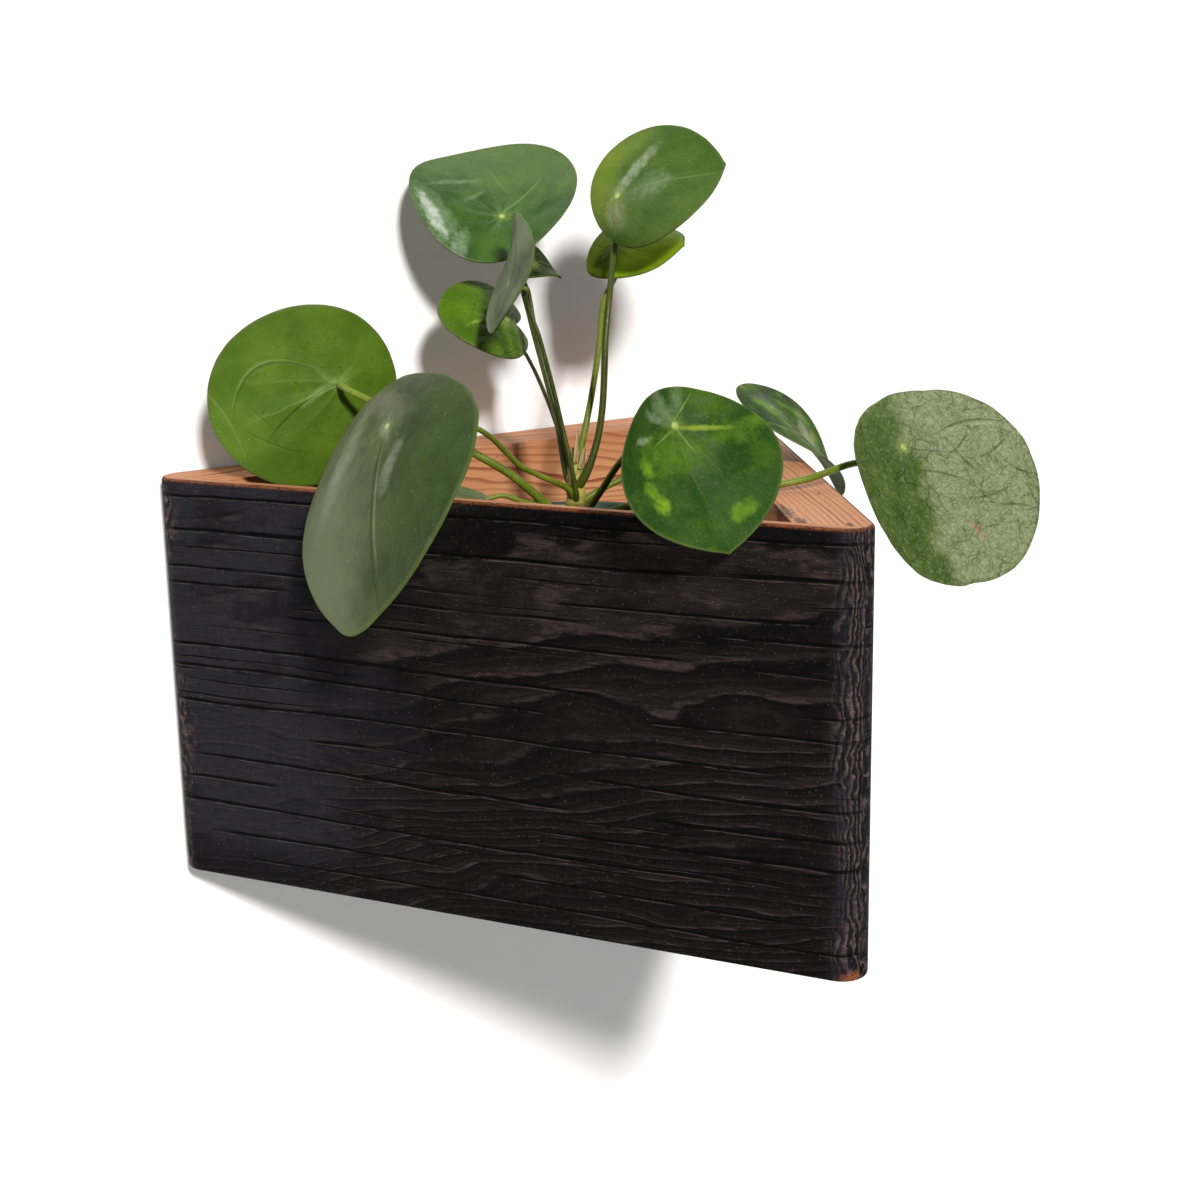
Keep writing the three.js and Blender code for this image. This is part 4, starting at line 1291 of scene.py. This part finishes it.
# %% The vein group
@group("main", "wide", "crease", "puff", "fine")
def leaf_veins(flat="Vector", share=0.5, radius=35.0, seed=0.0):
    u, v, _ = parts(flat)
    place = vector_of(flat.tree, u, v, seed)
    bow = clouds(place, 0.06, 2) - 0.5
    angle = v.angle_from(u)
    swept = angle + angle.sine() * share * VEIN_SWEEP + bow * 0.5 * share
    turn = swept * (VEINS / (2 * math.pi)) + 0.5
    order = turn.floor().size()
    weight = 1.0 / (1.0 + order * order * 1.6)
    off = (turn.fraction() - 0.5).size() * (2 * math.pi / VEINS) * share * radius
    main = (off / (0.9 - share * 0.65)).step(0.1, 1, 1, 0) * share.step(0.02, 0.08)
    reach = share.step(0.45, 1.0, 1, 0) * weight
    bend = clouds(place, 0.13, 3, 0.6) - 0.5
    bent = vector_of(flat.tree, u + bow * 9 + bend * 9, v - bow * 7 + bend * 6, seed)
    edge = cells(bent, 0.13)
    torn = clouds(place, 0.09, 2).step(0.42, 0.6, 0.06, 1)
    return (main * reach, off.step(0, 4.0, 1, 0) * reach, edge.step(0.0, 0.045, 1, 0) * torn,
            edge.step(0.0, 0.35), cells(bent, 0.42).step(0.0, 0.1, 1, 0))


# %% The skin group
@group("color", "roughness", "height")
def leaf_skin(flat="Vector", share=0.5, under=0.0, seed=0.0, main=0.0, wide=0.0, crease=0.0, puff=0.0,
              fine=0.0, deep="Color", light="Color", below="Color", below_light="Color",
              vein_color="Color", vein_strength=0.1, blotch=0.0, blotch_color="Color", rim="Color",
              bloom=0.0, bloom_color="Color", bloom_side=0.0, bloom_edge=0.0, bloom_soft=20.0,
              star=0.1, spots=0.0, creases=0.2, crinkle=0.3):
    u, v, _ = parts(flat)
    place = vector_of(flat.tree, u, v, seed)
    away = (u * u + v * v).root()
    upper = 1.0 - under
    patch = clouds(place, 0.07, 3, 0.55)
    blotches = clouds(place, 0.16, 2, 0.5).step(0.5, 0.72) * blotch
    wrinkle = clouds(place, 0.5, 5, 0.68)
    wrinkled = creases.step(0.6, 1.0) * upper
    spokes = clouds(vector_math("NORMALIZE", place), 3.4, 2)
    rays = spokes.step(0.5, 0.62) * away.step(1.5, 12, 0.8, 0) * star * upper
    # A pale painted glare over one side of the blade, with a ragged edge.
    lean = u * bloom_side.cosine() + v * bloom_side.sine() - bloom_edge + (patch - 0.5) * 22
    bloomed = lean.step(-4, bloom_soft) * bloom * upper
    specks = clouds(place, 0.75, 1).step(0.715, 0.75) * spots
    grain = clouds(place, 1.9, 3, 0.7)
    dust = clouds(place, 1.7, 1).step(0.75, 0.78) * patch.step(0.35, 0.6, 0.25, 0.7)
    top = painted(deep, (patch.step(0.32, 0.68), light), (blotches, blotch_color))
    # The crease coat below is painted shade in the creases, and on the most wrinkled blades the two wrinkle
    # coats are painted shade and painted highlight; the pale glare coat is painted glare.
    color = painted(
        top, (under, painted(below, (patch.step(0.3, 0.7), below_light))),
        (main * vein_strength, vein_color), (crease * creases * upper * 0.7, deep),
        (rays, (176, 190, 150)), (bloomed, bloom_color), (away.step(1.0, 5.0, 0.45, 0), vein_color),
        (away.step(0.5, 1.7, 1, 0) * 0.85, (186, 200, 112)), (specks, (38, 52, 16)),
        (grain.step(0.35, 0.5, 0.22, 0), deep), (grain.step(0.55, 0.7, 0, 0.16) * upper, (150, 164, 120)),
        (dust, (176, 186, 150)), (share.step(0.975, 0.997) * 0.5, rim),
        (wrinkle.step(0.4, 0.5, 0.4, 0) * wrinkled, deep),
        (wrinkle.step(0.54, 0.66, 0, 0.3) * wrinkled, (166, 174, 138)))
    rough = patch.step(0.3, 0.7, 0.3, 0.4) + under * 0.14 + wrinkle * 0.06 + bloomed * 0.2
    sunk = wide * -0.4 - main * 0.4 - crease * creases + puff * creases * 0.9
    lift = sunk * (upper * 1.7 - 0.7) - fine * 0.06 + wrinkle * crinkle
    lift = lift + clouds(place, 2.2, 2, 0.6) * 0.1 - fine * wrinkled * 0.35
    return color, rough, lift


# %% [markdown]
# Every leaf has its own age and light, so every leaf has its own greens, and some carry painted shade: the
# small dark leaf's greens are darkened for the shade of the leaves above it. What it doesn't state it takes
# from the common leaf.

# %% The leaves' colours
COMMON_LEAF = dict(
    deep=(40, 64, 16), light=(56, 84, 22), below=(74, 100, 28), below_light=(92, 116, 34),
    vein_color=(118, 140, 54), blotch_color=(120, 150, 40), rim=(84, 98, 50),
    bloom_color=(146, 154, 124), vein_strength=0.12)
LEAF_LOOKS = {
    "upper_left": dict(deep=(38, 72, 14), light=(62, 96, 30), bloom=0.4, bloom_side=-0.7, bloom_edge=6,
                       bloom_color=(104, 126, 70), creases=0.4, crinkle=0.9, star=0.15),
    "folded": dict(deep=(50, 68, 38), light=(98, 112, 78), bloom=0.3, bloom_edge=-10, crinkle=0.8,
                   below=(66, 80, 50), below_light=(94, 104, 76)),
    # painted shade: these greens are darkened for the shade of the leaves above
    "small_dark": dict(deep=(20, 34, 4), light=(34, 50, 6)),
    "small_bitten": dict(deep=(64, 98, 8), light=(88, 120, 12), spots=0.9, creases=0.6, crinkle=0.7),
    "upper_right": dict(deep=(54, 84, 20), light=(74, 98, 30), creases=0.3, crinkle=0.5),
    "under_right": dict(deep=(112, 146, 6), light=(132, 160, 10)),
    "left": dict(below=(72, 100, 20), below_light=(88, 116, 28), spots=0.6, vein_strength=0.2,
                 vein_color=(130, 156, 80)),
    "drooping": dict(deep=(40, 58, 20), light=(54, 72, 32), vein_color=(120, 136, 92), bloom=0.48,
                     bloom_side=-1.4, bloom_edge=-4, bloom_soft=26, bloom_color=(122, 128, 100),
                     crinkle=0.6),
    "low": dict(deep=(54, 78, 24), light=(88, 112, 40)),
    "mottled": dict(deep=(34, 64, 20), light=(54, 82, 32), blotch=0.25, star=0, blotch_color=(80, 116, 20)),
    "behind": dict(deep=(26, 50, 4), light=(56, 88, 10), blotch=0.5, star=0.2, below=(150, 162, 118),
                   below_light=(178, 186, 148)),
    "right": dict(deep=(62, 88, 28), light=(86, 106, 46), crinkle=1.5, creases=1, bloom=0.85,
                  bloom_side=1.05, bloom_edge=2, bloom_soft=7, bloom_color=(142, 150, 112),
                  vein_color=(136, 156, 84)),
}
print("leaves with looks of their own:", len(LEAF_LOOKS))

# %% [markdown]
# Besides, each blade has marks of its own: a crease, a pale streak, a yellow blotch. Many marks are painted
# light: pale streaks and patches of painted highlight and glare, dark lines of painted shade in creases, and
# a painted shadow that one leaf casts on another. A mark is a soft ellipse that may bend, with a ragged edge.
# A long narrow one is a line.

# %% The mark group and each leaf's marks
@group("mask")
def leaf_mark(flat="Vector", centre="Vector", turn=0.0, long=10.0, wide=1.0, bend=0.0, ragged=0.3):
    u, v, _ = parts(vector_math("SUBTRACT", flat, centre))
    along = u * turn.cosine() + v * turn.sine()
    across = v * turn.cosine() - u * turn.sine() - bend * along * along / long
    torn = (clouds(flat, 0.3, 4, 0.7) - 0.5) * ragged * 2.6
    reach = (along / long) ** 2 + (across / wide) ** 2
    return (reach + torn).step(-0.5, 1.4, 1, 0) * reach.step(0.9, 1.8, 1, 0),


LEAF_MARKS = {  # colour, strength, centre, turn, length, width, raggedness, rise, bend
    # upper_left: the pale grey marks are painted highlights on its folds; the two thin green lines are veins
    "upper_left": [
        ((146, 166, 132), 0.5, (4, 26), 12, 17, 7, 1),
        ((198, 206, 194), 0.75, (4, 27), 12, 12, 3, 1.2, 0.5),
        ((160, 178, 148), 0.4, (-12, 21), -30, 10, 4, 1.3, 0.5),
        ((118, 150, 92), 0.6, (7, -11), -60, 15, 0.6, 0.3, -0.6, 0.1),
        ((122, 150, 96), 0.3, (20, -4), 10, 14, 0.5, 0.4, -0.3),
        ((140, 158, 122), 0.4, (24, 14), 100, 13, 1.6, 1.2, 0.3, 0.2),
        ((140, 158, 122), 0.3, (14, 8), 120, 8, 1.4, 1.3, 0.3)],
    # folded: the pale streak along its edge is a painted highlight
    "folded": [
        ((96, 92, 88), 0.5, (10, 0), 0, 16, 6, 1.2), ((150, 152, 132), 0.4, (2, 22), 10, 18, 3, 0.8),
        ((44, 58, 40), 0.75, (28, -10), 10, 15, 9, 0.8)],
    # small_bitten: the two thin pale lines are painted highlights on its wrinkles
    "small_bitten": [
        ((40, 58, 10), 0.6, (7, 9), 5, 14, 5, 0.8, -0.3),
        ((150, 182, 70), 0.5, (13, 4), 20, 7, 0.9, 1.2, 0.4, 0.1),
        ((150, 182, 70), 0.5, (9, 2), -20, 6, 0.8, 1.2, 0.4),
        ((60, 90, 14), 0.5, (22, 10), 80, 8, 4, 0.6)],
    # upper_right: the pale grey streak running out from the dot is a painted highlight
    "upper_right": [
        ((108, 130, 28), 0.8, (-6, 8), 70, 22, 8, 0.5), ((112, 134, 34), 0.55, (6, 19), 20, 14, 6, 0.5),
        ((166, 178, 148), 0.55, (9, 8), 37, 14, 2.8, 1.3, 0.3),
        ((140, 156, 118), 0.4, (15, -1), 10, 10, 6, 1), ((146, 150, 106), 0.5, (-2, -8), -80, 8, 5, 0.8),
        ((112, 140, 74), 0.5, (27, -2), -9, 17, 0.5, 0.3, -0.4, 0.05)],
    # under_right: its dark patch is a painted shadow, cast by the upper right leaf
    "under_right": [
        ((26, 32, 6), 0.9, (-4, -15), 65, 18, 9, 0.3)],
    # left: its thin dark lines are painted shade in the sunk veins; its thin pale lines are pale veins with
    # painted highlight on their lit side
    "left": [
        ((44, 66, 16), 0.85, (17.5, -1.5), -16, 19, 0.55, 0.3, -0.8, -0.19),
        ((140, 162, 98), 0.5, (9, 0.5), -14, 9, 1.8, 0.6, 0.4, -0.1),
        ((50, 76, 20), 0.75, (24.5, 18), -6, 20, 0.6, 0.3, -0.5, -0.73),
        ((130, 156, 84), 0.45, (24.7, 18.9), -6, 20, 0.8, 0.5, 0.3, -0.73),
        ((54, 76, 24), 0.65, (33, -10), 48, 16, 0.4, 0.3, -0.4, 0.1),
        ((54, 76, 24), 0.5, (32, 0), 66, 6, 0.35, 0.3, -0.4),
        ((130, 156, 84), 0.35, (4, 5), 60, 7, 1.5, 0.6, 0.4, 0.1),
        ((118, 146, 66), 0.4, (44, 8), 80, 24, 0.7, 0.6, 0.2, -0.2),
        ((130, 156, 80), 0.35, (-3, 2), 150, 6, 1.4, 0.5, 0.4, 0.1)],
    # drooping: the dark lines are painted shade in its creases, and the pale grey and pinkish patches and
    # lines are painted glare and highlight
    "drooping": [
        ((50, 46, 28), 0.85, (37, 6.6), 15, 39, 0.6, 0.25, -0.8, 0.055),
        ((136, 142, 114), 0.45, (30, 6.4), 14, 28, 0.8, 0.6, 0.4, 0.05),
        ((142, 146, 128), 0.55, (12, -22), -8, 28, 6, 0.7),
        ((142, 148, 128), 0.5, (16, 9), -6, 12, 3.4, 0.8, 0.2, 0.1),
        ((92, 76, 54), 0.8, (-8, -7), 118, 10, 0.7, 0.4, -0.5, 0.2),
        ((92, 76, 54), 0.7, (-6, 4.5), 125, 5, 0.7, 0.4, -0.5, 0.2),
        ((124, 120, 106), 0.5, (-11, -8), 70, 20, 7, 0.8),
        ((38, 56, 26), 0.6, (38, 32), 22, 11, 0.5, 0.3, -0.4),
        ((138, 130, 112), 0.4, (57, 47), 40, 18, 7, 0.7), ((150, 150, 130), 0.4, (2, 0), 40, 5, 3, 1)],
    # mottled: the pale grey marks are painted highlights; the yellow-green spots and lines are its own
    # mottling and veins
    "mottled": [
        ((150, 170, 128), 0.45, (-7, -5), 215, 9, 4, 1.1, 0.2),
        ((176, 190, 158), 0.35, (-4, -9), 245, 5, 1.8, 1.2, 0.2),
        ((150, 170, 128), 0.3, (-9, 3), 165, 7, 3, 1.2, 0.2),
        ((190, 202, 172), 0.5, (3, -15), -80, 4, 1.4, 1.3, 0.2),
        ((150, 172, 60), 0.8, (3.5, 9), 72, 10, 1.1, 0.8, -0.3),
        ((92, 128, 30), 0.45, (8, 17), 72, 9, 5, 1.2), ((90, 126, 30), 0.6, (9, -6), 80, 15, 8, 1.2),
        ((112, 150, 34), 0.7, (12, -16), 0, 3.6, 2.8, 1.3),
        ((112, 150, 36), 0.7, (19, -17), 0, 3.4, 2.8, 1.3),
        ((126, 162, 36), 0.8, (25, -15), 0, 4, 3.2, 1.3),
        ((104, 142, 32), 0.7, (34, 11), 110, 6.5, 3.2, 1.3),
        ((84, 114, 32), 0.5, (-5, 13), 30, 9, 6, 1.2), ((96, 130, 36), 0.55, (6, 27), 100, 7, 3.6, 1.2),
        ((78, 112, 30), 0.45, (18, 23), 0, 6, 4.5, 1.2),
        ((128, 156, 72), 0.5, (3, -5), -66, 8, 0.5, 0.4, -0.4),
        ((128, 156, 72), 0.5, (6, 2), 20, 7, 0.5, 0.4, -0.4),
        ((140, 164, 84), 0.5, (-5, 4), 130, 7, 0.5, 0.4, -0.4)],
    # behind: the dark patch is painted shade, and the pale streaks are its pale veins with painted highlight
    # on them
    "behind": [
        ((34, 62, 4), 0.8, (-8, -10), 30, 18, 9, 0.6), ((164, 166, 126), 0.75, (26, 2), -60, 22, 9, 0.8),
        ((150, 170, 90), 0.5, (9, -8), -40, 11, 1.6, 0.8, 0.3),
        ((140, 158, 108), 0.5, (20, 6), -60, 26, 5, 1, 0.3),
        ((104, 144, 30), 0.8, (-2, -6), 0, 8, 6, 1.4)],
    # right: the thin dark lines are painted shade in its creases and the pale lines beside them painted
    # highlight; the brown spot is its own colour
    "right": [
        ((40, 62, 22), 0.7, (12, 11), 47, 16, 0.5, 0.3, -1, 0.1),
        ((44, 66, 26), 0.65, (9, 25), 58, 16, 0.5, 0.35, -1, -0.3),
        ((44, 66, 26), 0.6, (18, 5), 35, 14, 0.5, 0.35, -1, -0.12),
        ((44, 66, 26), 0.6, (24, 26), 85, 8, 0.5, 0.35, -1, 0.2),
        ((174, 184, 150), 0.35, (10.5, 24), 58, 15, 1, 0.6, 0.6, -0.3),
        ((174, 184, 150), 0.3, (13.5, 12.5), 47, 14, 0.9, 0.6, 0.6, 0.1),
        ((44, 66, 26), 0.7, (20, 14), 5, 9, 0.55, 0.35, -0.7, 0.25),
        ((52, 74, 34), 0.7, (34, 10), 60, 12, 0.6, 0.4, -0.7, 0.2),
        ((52, 74, 34), 0.7, (44, 16), 40, 10, 0.6, 0.4, -0.7, -0.2),
        ((176, 120, 84), 0.9, (40, -2), -12, 5, 0.8, 0.2, 0.3),
        ((48, 70, 30), 0.7, (14, 17), 95, 8, 0.5, 0.4, -0.7, 0.3),
        ((52, 74, 34), 0.6, (36, 26), 20, 10, 0.5, 0.4, -0.7, 0.3)],
}
print("marks:", sum(len(marks) for marks in LEAF_MARKS.values()))

# %% Grow the leaves
SEED_STEP = 17.0
SKIN_RELIEF = {"right": 0.65, "small_bitten": 0.45}
GLOSS = {"mottled": 0.04, "behind": 0.02, "drooping": 0.1, "folded": 0.1, "small_dark": 0.02,
         "under_right": 0.02}
FLESH = dict(Subsurface_Radius=(0.4, 1.0, 0.2), Subsurface_Scale=0.001)  # green light goes deepest


def draw_leaf(tree, name, seed):
    looks = {label: linear(value) if isinstance(value, tuple) else value
             for label, value in {**COMMON_LEAF, **LEAF_LOOKS[name]}.items()}
    flat = put(tree, "Mapping", {"Vector": put(tree, "UVMap", uv_map="blade"), "Scale": (100,) * 3})
    share, under = (put(tree, "Attribute", out="Fac", attribute_name=label) for label in ("share", "under"))
    veins = leaf_veins(flat=flat, share=share, radius=sum(LEAVES[name]["size"]) / 4, seed=seed)
    skin = leaf_skin(flat=flat, share=share, under=under, seed=seed, **veins._asdict(), **looks)
    color, height = skin.color, skin.height
    marked_side = under if name == "left" else 1.0 - under  # the side that the photograph shows
    for tint, strength, centre, turn, long, wide, ragged, *rest in LEAF_MARKS.get(name, []):
        rise, bend = (*rest, 0, 0)[:2]
        mark = leaf_mark(flat=flat, centre=(*centre, seed), turn=math.radians(turn), long=long,
                         wide=wide, bend=bend, ragged=ragged).mask * marked_side
        color = painted(color, (mark * strength, tint))
        height = height + mark * rise
    return color, skin.roughness, height


for number, name in enumerate(LEAVES):
    material = make_material("leaf_skin_" + name, lambda tree: draw_leaf(tree, name, number * SEED_STEP),
                             SKIN_RELIEF.get(name, 0.35), Specular_IOR_Level=GLOSS.get(name, 0.2),
                             Subsurface_Weight=0.08, **FLESH)
    mesh = blade_mesh(name)
    add_piece(f"leaf_{name}_blade", mesh, [material], ["leaf_" + name], "leaf_green")
print("one blade:", len(mesh.polygons), "faces")

# %% [markdown]
# ## Stalks
# The stalks are green with fine lengthwise streaks, paler where they meet the blade.

# %% Grow the stalks
STALK_TINTS = {"dark": ((40, 50, 4), (72, 82, 12)), "fresh": ((80, 96, 14), (118, 130, 40))}
FRESH = ("left", "drooping", "mottled", "behind", "right", "low", "under_right")
STALK_COUNT = 70
SQUARE = 7  # the last millimetres of a stalk, square to its blade
STALK_FOOT = (-9.7, -95.2)
FOOT_DROP = 6  # how far the foot lies below the first point that shows
KNEE = (0.35, 2.2)  # the swelling under the blade: its share of the radius and its length
SHEATH = (0.45, 9)  # the same at the foot


def draw_stalk(tree, dark, light):
    along = put(tree, "Attribute", out="Fac", attribute_name="along")
    place = object_mm(tree)
    streak = clouds(place, (2.2, 2.2, 0.12), 3, 0.6)
    patch = clouds(place, 0.08, 2)
    color = painted(dark, ((streak * 0.6 + patch * 0.4).step(0.35, 0.65), light),
                    (along.step(0.86, 1.0, 0, 0.6), (150, 172, 84)),
                    (along.step(0.0, 0.12, 0.45, 0), (96, 92, 40)))
    return color, streak.step(0.3, 0.7, 0.36, 0.48), streak


def stalk_line(leaf):
    up, at = blade_axes(leaf)[2], Vector(leaf["at"])
    foot = (*STALK_FOOT, leaf["via"][0][2] - FOOT_DROP)
    return even(spline([foot, *leaf["via"], at - up * SQUARE, at - up * (BLADE / 2 - 0.05)]), STALK_COUNT)


def swelling(bump, distance):
    return bump[0] * math.exp(-((distance / bump[1]) ** 2))


stalk_skin = {tone: make_material("stalk_" + tone, lambda tree: draw_stalk(tree, *STALK_TINTS[tone]), 0.12,
                                  Specular_IOR_Level=0.3, Subsurface_Weight=0.1, **FLESH)
              for tone in STALK_TINTS}
for name, leaf in LEAVES.items():
    line, length = stalk_line(leaf)
    thick, thin = leaf["stalk"]
    radii = []
    for share in (i / STALK_COUNT for i in range(STALK_COUNT + 1)):
        flare = swelling(KNEE, (1 - share) * length) + swelling(SHEATH, share * length)
        radii.append((thick + (thin - thick) * math.sqrt(share)) * (1 + flare))
    skin = stalk_skin["fresh" if name in FRESH else "dark"]
    mesh = tube_mesh("stalk_" + name, line, radii, 14, skin)
    add_piece(f"stalk_{name}_shoot", mesh, [skin], ["stalk_" + name], "stalk_green")
    print("stalk", name, "length", round(length), "mm")

# %% [markdown]
# ## The main stem
# The stem is a short thick shoot, green at the top and corky below, with the scars of old leaves
# round it. A few dry tan stipules stand at its top: thin pointed scales.

# %% Grow the stem
STEM_RADIUS, STEM_SCAR, STEM_SCARS = 3.9, 0.5, 13
STEM_TAPER = 0.1
STEM_TIP = (0.86, 0.62)  # where the tip begins, and how much thinner it gets
STEM_POINTS = [(-11, -96, 25), (-11, -96, 50), (-10, -95.5, 62), (-9, -94.5, 76), (-8.5, -94, 88)]
STEM_COUNT, STEM_SIDES = 180, 28
STEM_LUMPS = Vector((1, 0.6, 0)) * 0.25 * MM


def stem_radius(share):
    scar = STEM_SCAR * max(0, math.sin(share * STEM_SCARS * math.pi)) ** 6
    tip = min(max((share - STEM_TIP[0]) / (1 - STEM_TIP[0]), 0), 1)
    tip = tip * tip * (3 - 2 * tip)
    return (STEM_RADIUS + scar) * (1 - STEM_TAPER * share) * (1 - STEM_TIP[1] * tip)


def draw_stem(tree):
    place = object_mm(tree)
    x, _, height = parts(place)
    along = put(tree, "Attribute", out="Fac", attribute_name="along")
    streak = clouds(place, (1.2, 1.2, 0.2), 3, 0.65)
    patch = clouds(place, 0.25, 3, 0.6)
    cork = clouds(place, 0.9, 4, 0.7)
    brown = height.step(42, 72, 0.9, 0.05) + patch * 0.7 - 0.35
    ring = (along * (STEM_SCARS * math.pi)).sine().step(0.75, 0.98)
    bud = (x + patch * 3).step(-7.6, -5.6) * height.step(61, 67, 1, 0)  # an old dark bud low on the right
    color = painted((132, 128, 42), (patch.step(0.35, 0.65), (178, 168, 80)),
                    (brown.step(0.3, 0.7), (98, 68, 44)), (ring * 0.45, (92, 84, 34)),
                    (bud, (58, 30, 28)), (streak.step(0.6, 0.8, 0, 0.4), (150, 128, 84)))
    return color, cork.step(0.3, 0.7, 0.5, 0.7), cork * 0.8 + streak * 0.5


stem_skin = make_material("stem_skin", draw_stem, 0.35)
stem_line, stem_length = even(spline(STEM_POINTS), STEM_COUNT)
stem_radii = [stem_radius(i / STEM_COUNT) for i in range(STEM_COUNT + 1)]
stem_mesh = tube_mesh("main_stem", stem_line, stem_radii, STEM_SIDES, stem_skin)
for vertex in stem_mesh.vertices:
    vertex.co += STEM_LUMPS * noise.noise(vertex.co / MM / 2.5)
add_piece("main_stem_shoot", stem_mesh, [stem_skin], ["main_stem"], "stem_green")
print("stem length", round(stem_length), "mm")

# %% Add the stipules
STIPULES = [  # foot, length, lean and turn in degrees
    ((-9.9, -96.4, 82), 15, 4, 20),
    ((-12.2, -97.2, 73), 11, 12, -60),
    ((-6.4, -96.0, 77), 12, 8, 70),
    ((-8.8, -97.6, 80), 9, 12, 25),
]
STIPULE_WIDTH, STIPULE_ROWS, STIPULE_STEPS = 2.1, 9, 10
FLATNESS, HOLLOW = 0.4, 0.12


def draw_stipule(tree):
    streak = clouds(object_mm(tree), (2.0, 2.0, 0.15), 3, 0.6)
    color = painted((138, 112, 66), (streak.step(0.35, 0.65), (188, 166, 120)))
    return color, streak.step(0.3, 0.7, 0.55, 0.7), streak


def stipule_shape(shape):
    """A thin scale: wide and hollow at the foot, drawn out to a point."""
    for foot, length, lean, turn in STIPULES:
        place = Matrix.Rotation(math.radians(turn), 3, "Z") @ Matrix.Rotation(math.radians(lean), 3, "X")
        rings = []
        for share in (row / STIPULE_ROWS for row in range(STIPULE_ROWS + 1)):
            width = STIPULE_WIDTH * (1 - share) ** 0.8 * (0.8 + 0.6 * share)
            ring = [Vector((x, FLATNESS * y + HOLLOW * x ** 2, share * length))
                    for x, y in around(width, STIPULE_STEPS)]
            rings.append([shape.verts.new(place @ point + Vector(foot)) for point in ring])
        shape.faces.new(list(reversed(rings[0])))
        bridge(shape, rings)
    bmesh.ops.remove_doubles(shape, verts=shape.verts, dist=0.01)


stipule_skin = make_material("dry_stipule", draw_stipule, 0.15)
stipule_mesh = mesh_of("stem_stipules", stipule_shape)
add_piece("stem_stipules", stipule_mesh, [stipule_skin], ["main_stem"], "stem_green")
print("stipules:", len(STIPULES))

# %% [markdown]
# ## The sizes at the end
# The dressed model must fit the CAD model's box. Both boxes are written down side by side.

# %% Write the sizes and finish
visual_box = [list(corner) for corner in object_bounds()]
for label, pair in (("cad", cad_box), ("visual", visual_box)):
    print(label, [[round(value / MM, 1) for value in corner] for corner in pair])
